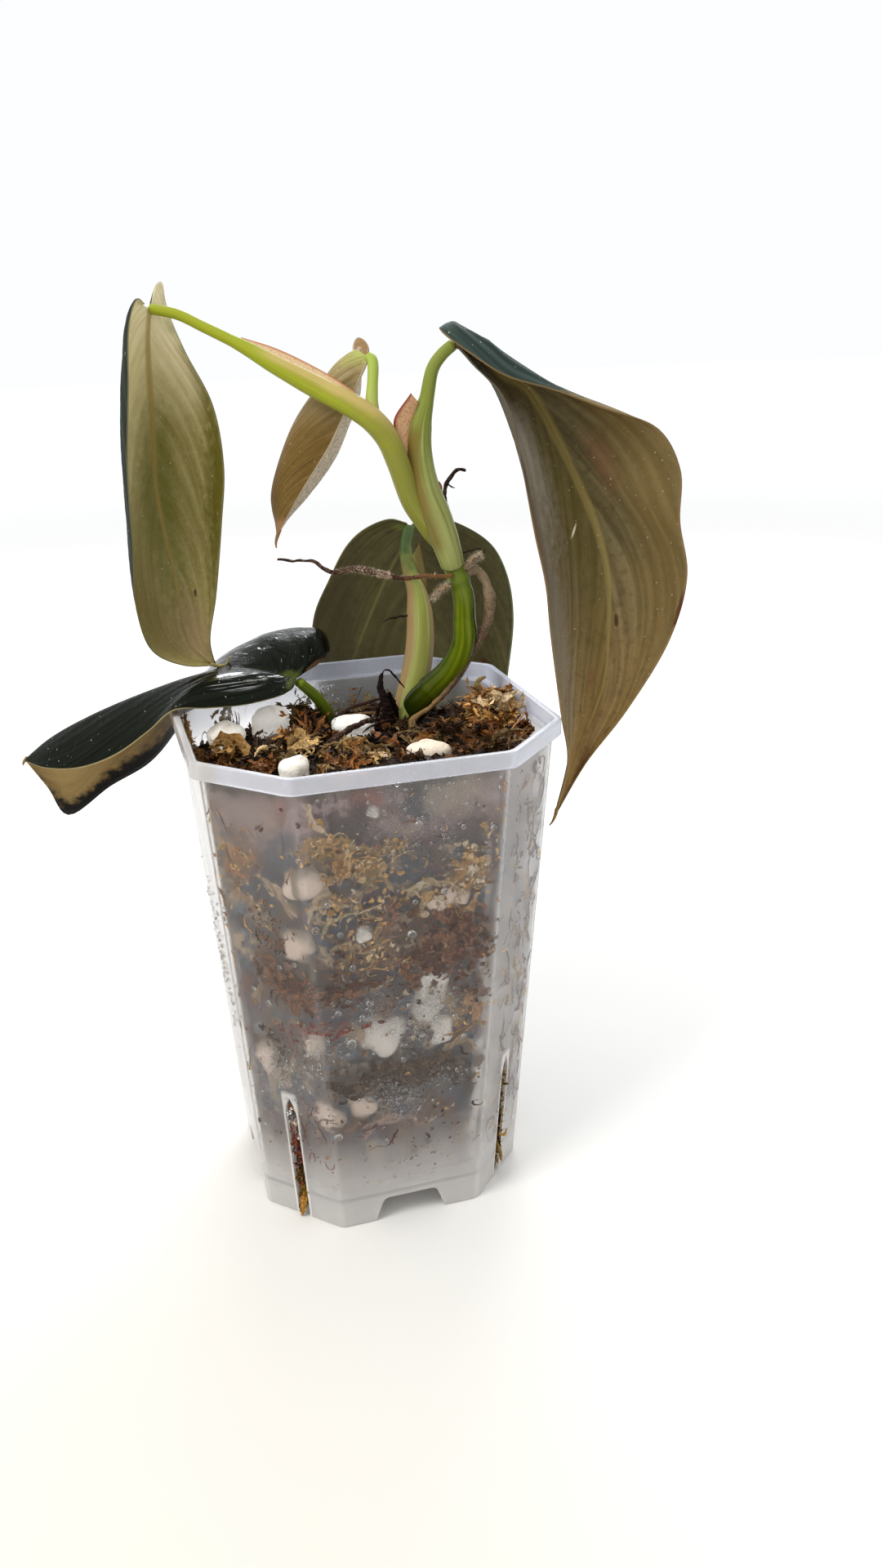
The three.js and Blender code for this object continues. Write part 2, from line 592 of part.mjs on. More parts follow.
const joined = (first, others) => others.reduce((sum, solid) => sum.add(solid), first);
const without = (first, others) => largestBody(others.reduce((rest, solid) => rest.subtract(solid), first));

const stem = joined(stemSolid(STEM), BURIED_ROOTS.map((root) => stemSolid(root)));
const stemRoom = joined(stemSolid(STEM, GAP), BURIED_ROOTS.map((root) => stemSolid(root, GAP)));

addNode('pot', makePot(), FROSTED);

addNode('soil', without(makeSoil(), [
  stemRoom,
  stemSolid(STALKS.back, GAP),
  stemSolid(STALKS.front, GAP),
  stemSolid(ROOTS.hanging, GAP),
  stemSolid(DEAD_STALK, GAP),
  stemSolid(SURFACE_ROOT, GAP),
  ...PUMICE_STONES.map((stone) => pumiceSolid(stone, GAP)),
]), SOIL);

const onSoil = [SURFACE_ROOT, DEAD_STALK, STALKS.front];
const stoneNeighbours = [stemRoom, ...onSoil.map((part) => stemSolid(part, GAP))];
PUMICE_STONES.forEach((stone, i) => {
  addNode(`pumice_${i + 1}`, without(pumiceSolid(stone), stoneNeighbours), PUMICE);
});

// A stalk with the free tip of its sheath, where it has one, and the room that both take with a gap round them
const sheathsOf = (name, extra) => (SHEATH_TIPS[name] ? [sheathSolid(SHEATH_TIPS[name], extra)] : []);
const stalkSolid = (name, extra = 0) => joined(stemSolid(STALKS[name], extra), sheathsOf(name, extra));
const stalkRoom = (name) => stalkSolid(name, GAP);
const bladeRoom = (name) => bladeSolid(LEAVES[name], GAP);

addNode('stem', stem, STEM_GREEN);
const stalkNeighbours = {
  right: [stemRoom, bladeRoom('right')],
  left: [stalkRoom('right'), bladeRoom('left')],
  new: [stalkRoom('left'), bladeRoom('new')],
  back: [stemRoom, bladeRoom('back')],
  front: [stemRoom, bladeRoom('front')],
};
for (const [name, neighbours] of Object.entries(stalkNeighbours)) {
  addNode(`stalk_${name}`, without(stalkSolid(name), neighbours), STALK_GREEN);
}

for (const [name, leaf] of Object.entries(LEAVES)) {
  addNode(`blade_${name}`, bladeSolid(leaf), leaf.material);
}

const rootNeighbours = [stemRoom, stemSolid(STALKS.right, GAP)];
addNode('root_long', without(stemSolid(ROOTS.long), rootNeighbours), ROOT_BROWN);
addNode('root_upright', without(stemSolid(ROOTS.upright), rootNeighbours), ROOT_DARK);
addNode('root_hanging', without(stemSolid(ROOTS.hanging), rootNeighbours), ROOT_BROWN);
addNode('dead_stalk', without(stemSolid(DEAD_STALK), [stemRoom, stemSolid(STALKS.back, GAP)]), ROOT_DARK);
addNode('root_surface', without(stemSolid(SURFACE_ROOT), [
  stemRoom, stemSolid(STALKS.back, GAP), stemSolid(DEAD_STALK, GAP),
]), ROOT_DARK);

export default group;
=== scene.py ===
import math

import bpy
import numpy as np
from mathutils import Matrix, Vector


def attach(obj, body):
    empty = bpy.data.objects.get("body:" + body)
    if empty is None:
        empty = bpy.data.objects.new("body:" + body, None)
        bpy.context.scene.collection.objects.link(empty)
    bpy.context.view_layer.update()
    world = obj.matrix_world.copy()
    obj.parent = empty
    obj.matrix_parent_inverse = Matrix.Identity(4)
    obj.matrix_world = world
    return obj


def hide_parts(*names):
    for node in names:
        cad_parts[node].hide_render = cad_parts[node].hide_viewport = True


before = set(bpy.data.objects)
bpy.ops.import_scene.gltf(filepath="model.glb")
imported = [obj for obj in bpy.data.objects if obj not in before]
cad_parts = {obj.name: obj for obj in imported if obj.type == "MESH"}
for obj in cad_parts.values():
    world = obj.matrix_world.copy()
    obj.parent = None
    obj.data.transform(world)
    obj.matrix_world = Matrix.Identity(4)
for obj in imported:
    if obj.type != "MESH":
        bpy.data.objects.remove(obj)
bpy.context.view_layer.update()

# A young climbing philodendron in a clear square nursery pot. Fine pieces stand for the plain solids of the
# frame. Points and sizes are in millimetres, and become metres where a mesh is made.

METRE = 0.001

# The camera of the photograph, whose image is 1920 pixels high with a focal length of 1500 pixels
CAMERA_AT = (-59.63, -266.92, 206.16)
CAMERA_YAW = -16.585
CAMERA_PITCH = 21.199
CAMERA_ROLL = -1.329
SENSOR = 36
LENS = SENSOR * 1500 / 1920

# The pot. A half is half the width across two flat sides, and a corner is how far the cut corner
# reaches along each side.
POT_HEIGHT = 120
BASE_HALF = 32.5
BASE_CORNER = 15.5
TOP_HALF = 40
TOP_CORNER = 16.5
CORNER_SHIFT = 2 - math.sqrt(2)
WALL = 0.9
RIM_OUT = 1.6
RIM_BAND = 3.8
BAND_FOOT = POT_HEIGHT - RIM_BAND
FLOOR_HEIGHT = 7
FLOOR_THICK = 1
FLOOR_TOP = FLOOR_HEIGHT + FLOOR_THICK
WELL_HALF = 17
WELL_CORNER = 8
NOTCH_HEIGHT = 6.5
NOTCH_TOP = 13
NOTCH_FOOT = 17
SLOT_WIDTH = 3.2
SLOT_HEIGHT = 36

# The soil. Its side lies inside the wall by the edge and starts above the floor by the lift.
SOIL_FOOT = 1.4
SOIL_LIFT = 0.3
SOIL_EDGE = WALL + 1.0
SOIL_ROUND = 2.4
SOIL_HEIGHT = 110.5
SOIL_FALL = 0.13
SOIL_HUMPS = [
    (35, 5, 5, 6), (22, -6, 1.5, 9), (-8, 14, 2.5, 8), (-12, 4, 2, 6), (-31, -2, 1, 7), (5, -2, -2.5, 6),
    (14, 18, 1, 6), (31, -12, 1, 6), (-20, -18, -2, 6),
]

# The leaves
BLADE_THICK = 0.5
BLADE_ROWS = 110
BLADE_COLUMNS = 56
TIP_END = 0.997
ROW_CROWDING = 1.35
STEADY_FROM = 0.18
STEADY_TO = 0.85
VEIN_COUNT = 9
VEIN_SWEEP = 0.42
VEIN_POWER = 1.25

# The way to the front, for painted shade that grows darker towards both sides of a stalk
FRONT = np.array([-0.29, -0.957, 0.0])


# Curves and surfaces

class Curve:
    """A smooth curve through points, read evenly along its length."""

    READINGS = np.linspace(0, 1, 201)

    def __init__(self, points):
        inner = np.array(points, float)
        first = 2 * inner[0] - inner[1]
        last = 2 * inner[-1] - inner[-2]
        self.points = np.vstack([first, inner, last])
        steps = np.linalg.norm(np.diff(self.at(self.READINGS), axis=0), axis=1)
        self.lengths = np.concatenate([[0], np.cumsum(steps)])
        self.length = self.lengths[-1]

    def at(self, part):
        part = np.atleast_1d(np.asarray(part, float))
        spans = len(self.points) - 3
        place = np.clip(part, 0, 1) * spans
        index = np.minimum(place.astype(int), spans - 1)
        t = (place - index)[:, None]
        p0, p1, p2, p3 = (self.points[index + k] for k in range(4))
        gaps = [np.maximum(np.linalg.norm(b - a, axis=1)[:, None], 1e-6) ** 0.5
                for a, b in ((p0, p1), (p1, p2), (p2, p3))]
        start = ((p1 - p0) / gaps[0] - (p2 - p0) / (gaps[0] + gaps[1]) + (p2 - p1) / gaps[1]) * gaps[1]
        end = ((p2 - p1) / gaps[1] - (p3 - p1) / (gaps[1] + gaps[2]) + (p3 - p2) / gaps[2]) * gaps[1]
        square = 3 * (p2 - p1) - 2 * start - end
        cube = 2 * (p1 - p2) + start + end
        return p1 + t * (start + t * (square + t * cube))

    def even(self, part):
        return self.at(np.interp(np.asarray(part) * self.length, self.lengths, self.READINGS))

    def tangent(self, part):
        part = np.atleast_1d(np.asarray(part, float))
        step = 0.002
        return unit(self.even(np.minimum(part + step, 1)) - self.even(np.maximum(part - step, 0)))


def unit(vectors):
    return vectors / np.maximum(np.linalg.norm(vectors, axis=-1, keepdims=True), 1e-9)


def along(values, part):
    """The value at part 0 to 1 of an evenly spaced list."""
    return np.interp(part, np.linspace(0, 1, len(values)), values)


def smooth(low, high, value):
    t = np.clip((value - low) / (high - low), 0, 1)
    return t * t * (3 - 2 * t)


def waves(points, size, seed, count=28):
    """Smooth random bumps about as far apart as the size given, mostly from -1 to 1."""
    random = np.random.default_rng(seed)
    directions = unit(random.normal(size=(count, 3))) * (2 * math.pi / size)
    directions *= random.uniform(0.6, 1.7, (count, 1))
    phases = random.uniform(0, 2 * math.pi, count)
    return np.sin(points @ directions.T + phases).sum(axis=1) * math.sqrt(1 / count)


def waves_vector(points, size, seed):
    """Three such bumps at each point, as a step in space."""
    return np.stack([waves(points, size, seed + k) for k in (11, 12, 13)], axis=1)


def grid_faces(rows, columns, wrap=False):
    """The squares of a grid of points, rows + 1 by columns + 1, or by columns where it wraps round."""
    width = columns if wrap else columns + 1
    row = np.arange(rows)[:, None]
    column = np.arange(columns)[None, :]
    following = (column + 1) % width
    corners = (row * width + column, row * width + following, (row + 1) * width + following,
               (row + 1) * width + column)
    return np.stack([part.ravel() for part in corners], axis=1)


def sheet_faces(rows, columns):
    """The squares of a thin closed sheet, whose points are a grid for its upper face and another below."""
    count = (rows + 1) * (columns + 1)
    cells = np.arange(count).reshape(rows + 1, -1)
    border = np.concatenate([cells[:-1, 0], cells[-1, :-1], cells[:0:-1, -1], cells[0, :0:-1]])
    after = np.roll(border, -1)
    rim = np.stack([border, border + count, after + count, after], axis=1)
    squares = grid_faces(rows, columns)
    return np.vstack([squares[:, ::-1], squares + count, rim])


def end_caps(rings, sides):
    """The triangles that close a stack of rings. The middle points of its two ends come after the rings."""
    first = np.arange(sides)
    after = (first + 1) % sides
    last_ring = (rings - 1) * sides
    middle = np.full(sides, rings * sides)
    return np.vstack([np.stack([middle, after, first], axis=1),
                      np.stack([middle + 1, last_ring + first, last_ring + after], axis=1)])


def repeated(faces, count):
    """The faces of many shapes alike, where the points of each come after those of the one before."""
    starts = np.arange(count) * (faces.max() + 1)
    return (faces[None] + starts[:, None, None]).reshape(-1, faces.shape[1])


# Meshes

def set_numbers(mesh, numbers):
    for key, values in numbers.items():
        attribute = mesh.attributes.new(key, "FLOAT", "POINT")
        attribute.data.foreach_set("value", values.astype(np.float32).ravel())


def mesh_object(name, points, faces, materials, smooth_faces=True, numbers=None, colours=None, slots=None):
    """A mesh of the frame's body from points in millimetres and lists of triangles and squares."""
    mesh = bpy.data.meshes.new(name)
    mesh.vertices.add(len(points))
    mesh.vertices.foreach_set("co", (np.asarray(points) * METRE).astype(np.float32).ravel())
    corners = np.concatenate([part.ravel() for part in faces])
    sides = np.concatenate([np.full(len(part), part.shape[1]) for part in faces])
    starts = np.concatenate([[0], np.cumsum(sides)[:-1]])
    mesh.loops.add(len(corners))
    mesh.loops.foreach_set("vertex_index", corners.astype(np.int32))
    mesh.polygons.add(len(sides))
    mesh.polygons.foreach_set("loop_start", starts.astype(np.int32))
    if slots is not None:
        mesh.polygons.foreach_set("material_index", np.asarray(slots, np.int32))
    mesh.update(calc_edges=True)
    mesh.validate()
    mesh.polygons.foreach_set("use_smooth", np.full(len(sides), smooth_faces))
    set_numbers(mesh, numbers or {})
    if colours is not None:
        tints = np.hstack([colours, np.ones((len(colours), 1))]).astype(np.float32)
        mesh.attributes.new("tint", "FLOAT_COLOR", "POINT").data.foreach_set("color", tints.ravel())
    piece = bpy.data.objects.new(name, mesh)
    bpy.context.scene.collection.objects.link(piece)
    for material in materials:
        mesh.materials.append(material)
    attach(piece, "root")
    return piece


def frames(curve, parts):
    """Points, tangents and two directions across a curve that don't twist round it."""
    points = curve.even(parts)
    tangents = curve.tangent(parts)
    across = np.zeros_like(points)
    guide = np.array([0.0, 0.0, 1.0]) if abs(tangents[0][2]) < 0.8 else np.array([1.0, 0.0, 0.0])
    previous = unit(np.cross(tangents[0], guide))
    for i, tangent in enumerate(tangents):
        previous = unit(previous - tangent * (previous @ tangent))
        across[i] = previous
    return points, tangents, across, np.cross(tangents, across)


def tube(path, radii, steps, sides, shape=lambda part, turn: 1):
    """A closed tube along a path: points, faces, and numbers that say where on the tube each point lies."""
    parts = np.linspace(0, 1, steps + 1)
    points, tangents, across, up = frames(Curve(path), parts)
    turns = np.arange(sides) * 2 * math.pi / sides
    part_grid, turn_grid = np.meshgrid(parts, turns, indexing="ij")
    radius = along(radii, part_grid) * shape(part_grid, turn_grid)
    ring = (across[:, None] * np.cos(turns)[None, :, None] + up[:, None] * np.sin(turns)[None, :, None])
    body = (points[:, None] + ring * radius[..., None]).reshape(-1, 3)
    foot = points[0] - tangents[0] * radii[0] * 0.5
    head = points[-1] + tangents[-1] * radii[-1] * 0.6
    numbers = {
        "along": np.append(part_grid.ravel(), [0, 1]),
        "turn_cos": np.append(np.cos(turn_grid).ravel(), [0, 0]),
        "turn_sin": np.append(np.sin(turn_grid).ravel(), [0, 0]),
        "faces_up": np.append(ring[..., 2].ravel(), [0, 0]),
        "faces_left": np.append(-ring[..., 0].ravel(), [0, 0]),
        "faces_front": np.append((ring @ FRONT).ravel(), [0, 0]),
    }
    faces = [grid_faces(steps, sides, wrap=True), end_caps(steps + 1, sides)]
    return np.vstack([body, foot, head]), faces, numbers


class Pile:
    """Gathers many small shapes into one mesh."""

    def __init__(self):
        self.points, self.faces, self.colours, self.count = [], [], [], 0

    def add(self, points, faces, colour):
        self.points.append(points)
        for part in faces if isinstance(faces, list) else [faces]:
            self.faces.append(part + self.count)
        self.colours.append(np.broadcast_to(colour, (len(points), 3)))
        self.count += len(points)

    def piece(self, name, material, slot, smooth_faces=True):
        threes = [part for part in self.faces if part.shape[1] == 3]
        fours = [part for part in self.faces if part.shape[1] == 4]
        faces = [np.vstack(part) for part in (threes, fours) if part]
        piece = mesh_object(name, np.vstack(self.points), faces, [material], smooth_faces,
                            colours=np.vstack(self.colours))


# Colours and materials

def linear(code):
    """The colour of a code such as "#a0b0c0", as the renderer counts it."""
    values = [int(code[i:i + 2], 16) / 255 for i in (1, 3, 5)]
    return np.array([v / 12.92 if v <= 0.04045 else ((v + 0.055) / 1.055) ** 2.4 for v in values])


def operation(kind, turned=False):
    """A method of a term that adds a math node, with its two values turned round where asked."""
    def method(term, other=0.0):
        return term.shader.math(kind, *((other, term) if turned else (term, other)))
    return method


class Term:
    """A value inside a material. A sum, product or power of terms becomes math nodes."""

    def __init__(self, shader, socket):
        self.shader = shader
        self.socket = socket

    __add__ = operation("ADD")
    __sub__ = operation("SUBTRACT")
    __rsub__ = operation("SUBTRACT", turned=True)
    __mul__ = operation("MULTIPLY")
    __truediv__ = operation("DIVIDE")
    __pow__ = operation("POWER")
    __abs__ = operation("ABSOLUTE")


class Shader:
    """A material built by short calls, each of which returns a term."""

    def __init__(self, name):
        self.material = bpy.data.materials.new(name)
        self.material.use_nodes = True
        self.tree = self.material.node_tree
        self.surface = self.tree.nodes["Principled BSDF"]
        position = self.node("ShaderNodeTexCoord", output="Object")
        self.place = self.node("ShaderNodeVectorMath", {0: position, "Scale": 1 / METRE}, operation="SCALE")

    def node(self, kind, values=(), output=0, **settings):
        """Adds a node with values for its inputs, by number or name, and returns one of its outputs."""
        node = self.tree.nodes.new(kind)
        for key, value in settings.items():
            setattr(node, key, value)
        for key, value in values.items() if isinstance(values, dict) else enumerate(values):
            self.feed(node.inputs[key], value)
        return Term(self, node.outputs[output])

    def feed(self, socket, value):
        if isinstance(value, Term):
            self.tree.links.new(value.socket, socket)
        elif isinstance(value, str):
            socket.default_value = (*linear(value), 1.0)
        else:
            socket.default_value = value

    def read(self, name, output="Fac"):
        return self.node("ShaderNodeAttribute", output=output, attribute_name=name)

    def math(self, kind, *values):
        return self.node("ShaderNodeMath", values, operation=kind)

    def vector(self, kind, *values, output=0):
        return self.node("ShaderNodeVectorMath", values, output, operation=kind)

    def join(self, x, y, z):
        return self.node("ShaderNodeCombineXYZ", (x, y, z))

    def split(self):
        """How far a place lies along X, Y and Z."""
        return [self.node("ShaderNodeSeparateXYZ", (self.place,), axis) for axis in range(3)]

    def dot(self, direction):
        """How far a place lies along a direction."""
        return self.vector("DOT_PRODUCT", self.place, direction, output="Value")

    def band(self, value, low, high):
        """0 at low and 1 at high, smooth between them."""
        values = {"Value": value, "From Min": low, "From Max": high}
        return self.node("ShaderNodeMapRange", values, interpolation_type="SMOOTHSTEP")

    def mix(self, factor, first, second):
        return self.node("ShaderNodeMix", {0: factor, 6: first, 7: second}, 2, data_type="RGBA")

    def between(self, factor, first, second):
        return self.node("ShaderNodeMix", {0: factor, 2: first, 3: second}, data_type="FLOAT")

    def noise(self, scale, place=None, detail=3.0, distortion=0.0):
        values = {"Vector": place or self.place, "Scale": scale, "Detail": detail, "Distortion": distortion}
        return self.node("ShaderNodeTexNoise", values, "Fac")

    def cells(self, scale):
        return self.node("ShaderNodeTexVoronoi", {"Vector": self.place, "Scale": scale}, "Distance")

    def bump(self, height, distance, strength=1.0):
        values = {"Strength": strength, "Distance": distance * METRE, "Height": height}
        return self.node("ShaderNodeBump", values)

    def done(self, **values):
        for key, value in values.items():
            self.feed(self.surface.inputs[key.replace("_", " ").title().replace("Ior", "IOR")], value)
        return self.material


def tinted_material(name, roughness=0.85, spread=0.35, shine=0.1):
    """For piles of small shapes: the tint of each, with fine darker and lighter patches."""
    s = Shader(name)
    tint = s.read("tint", "Color")
    grain = s.noise(1.6, detail=4.0)
    dark = s.node("ShaderNodeHueSaturation", (0.5, 1.05, 1 - spread, 1.0, tint))
    light = s.node("ShaderNodeHueSaturation", (0.5, 0.95, 1 + spread, 1.0, tint))
    return s.done(base_color=s.mix(s.band(grain, 0.3, 0.7), dark, light), roughness=roughness,
                  specular_ior_level=shine, normal=s.bump(grain, 0.15, 0.5))


class LeafSkin(Shader):
    """A leaf whose two faces have their own colours. Veins run from the midrib to the tip."""

    USUAL = {
        "streaks": 30, "patches": 0.5, "vein_strength": 0.45, "vein_width": 0.13, "threads": 0.07,
        "rib_width": 0.055, "margin_strength": 0.7, "relief": 1.0, "grain": 0.12, "shine": 0.25,
        "washes": (), "spots": (),
    }
    SPOT_EDGE = (1.15, 0.55)
    WASH_EDGE = (1.5, 0.1)
    LEAF_IOR = 1.45

    def __init__(self, name, look):
        super().__init__(name)
        self.look = {**self.USUAL, **look}
        self.v = self.read("across")
        self.u = self.read("along")
        self.upper = self.read("upper")
        self.outward = abs(self.v)
        self.side = self.math("SIGN", self.v)
        self.vein = self.u - self.outward ** VEIN_POWER * VEIN_SWEEP
        self.soft = self.noise(0.09, detail=4.0)
        self.fine = self.noise(1.1)
        streaked = self.join(self.vein * self.look["streaks"], self.outward * 2.0, self.side)
        self.streaks = self.noise(1.0, streaked, detail=4.0)
        self.ragged = (self.noise(0.5, detail=4.0) - 0.5) * 1.1
        self.waver = (self.soft - 0.5) * 0.5
        place = self.vein * VEIN_COUNT + (self.waver + self.side * 0.2)
        self.lines = self.band(self.math("PINGPONG", place, 0.5), self.look["vein_width"], 0.0)
        self.threads = self.band(self.math("PINGPONG", place * 5, 0.5), 0.3, 0.0)
        rib_width = (1.15 - self.u) * self.look["rib_width"]
        self.rib = self.band(self.outward, rib_width, rib_width * 0.35)

    def squared_away(self, at_u, at_v, reach_u, reach_v):
        """How far a place is from one along and across the leaf, squared, and 1 at the reach given."""
        return abs((self.u - at_u) / reach_u) ** 2 + abs((self.v - at_v) / reach_v) ** 2

    def spotted(self, colour, at_u, at_v, reach_u, reach_v, shade, strength, edge=SPOT_EDGE):
        """A ragged spot of another shade."""
        away = self.math("SQRT", self.squared_away(at_u, at_v, reach_u, reach_v)) + self.ragged
        return self.mix(self.band(away, *edge) * strength, colour, shade)

    def underside(self):
        look = self.look
        streaks = self.band(self.streaks, 0.2, 0.8)
        colour = self.mix(streaks, *look["under"])
        if "tip" in look:
            near_tip = self.band(self.u + self.waver * 0.6, *look["tip_from"])
            colour = self.mix(near_tip, colour, self.mix(streaks, *look["tip"]))
        colour = self.mix(self.band(self.soft, 0.5, 0.75) * look["patches"], colour, look["patch"])
        colour = self.mix(self.lines * look["vein_strength"], colour, look["vein"])
        colour = self.mix(self.threads * look["threads"], colour, look["vein"])
        colour = self.mix(self.band(self.fine, 0.45, 0.75) * 0.18, colour, look["under"][0])
        if "mottle" in look:
            shade, strength = look["mottle"]
            colour = self.mix(self.band(self.noise(0.45, detail=7.0), 0.5, 0.68) * strength, colour, shade)
        for wash in look["washes"]:
            colour = self.spotted(colour, *wash, edge=self.WASH_EDGE)
        if "line" in look:
            across, shift, shade = look["line"]
            colour = self.mix(self.band(abs(self.dot(across) + shift), 0.7, 0.2) * 0.6, colour, shade)
        return self.mix(self.rib * 0.8, colour, look["rib"])

    def upper_face(self):
        colour = self.mix(self.band(self.streaks, 0.3, 0.7), *self.look["over"])
        colour = self.mix(self.lines * 0.25, colour, self.look["over_vein"])
        return self.mix(self.rib * 0.8, colour, self.look["over_rib"])

    def colour(self):
        look = self.look
        colour = self.mix(self.upper, self.underside(), self.upper_face())
        if "pale_half" in look:
            grain = self.mix(self.band(self.noise(2.2, detail=4.0), 0.42, 0.6), *look["pale_half"])
            colour = self.mix(self.band(self.v, 0.0, -0.03), colour, grain)
        specks = self.band(self.cells(0.55), 0.13, 0.06) * self.band(self.noise(0.25), 0.42, 0.6)
        colour = self.mix(specks * 0.55, colour, look["speck"])
        margin = self.band(self.outward, 0.978, 0.994) * look["margin_strength"]
        colour = self.mix(margin, colour, look["margin"])
        for spot in look["spots"]:
            colour = self.spotted(colour, *spot)
        return colour

    def relief(self):
        look = self.look
        height = (self.lines * 0.25 + self.threads * 0.05) * look["relief"]
        height = height + self.cells(1.6) * 0.08 + self.fine * look["grain"]
        if "wrinkles" in look:
            height = height + self.noise(0.45, detail=5.0, distortion=1.2) * self.upper * look["wrinkles"]
        return self.bump(height, 0.5, 0.35)

    def wetness(self):
        """How much light the skin mirrors, more where it is wet: in rippled patches and in small flecks."""
        shine, ior = self.look["shine"], self.LEAF_IOR
        for key, fineness in (("gleams", 1.0), ("flecks", 2.6)):
            if key not in self.look:
                continue
            across = self.outward * (3.0 * fineness ** 1.6)
            ripples = self.join(self.vein * (30 * fineness), across, self.side)
            ripples = self.noise(1.0, ripples, detail=4.0, distortion=0.7)
            for at_u, at_v, reach_u, reach_v, low, strength in self.look[key]:
                inside = self.band(self.squared_away(at_u, at_v, reach_u, reach_v), 1.2, 0.5)
                wet = inside * self.band(ripples, low, low + 0.05)
                shine = wet * strength + shine
                ior = wet * (1.6 * strength) + ior
        return shine, ior

    def finished(self):
        shine, ior = self.wetness()
        rough = self.between(self.upper, self.between(self.fine, 0.42, 0.62), self.look["gloss"])
        return self.done(base_color=self.colour(), roughness=rough, normal=self.relief(), ior=ior,
                         specular_ior_level=self.between(self.upper, 0.15, shine))


# The leaves

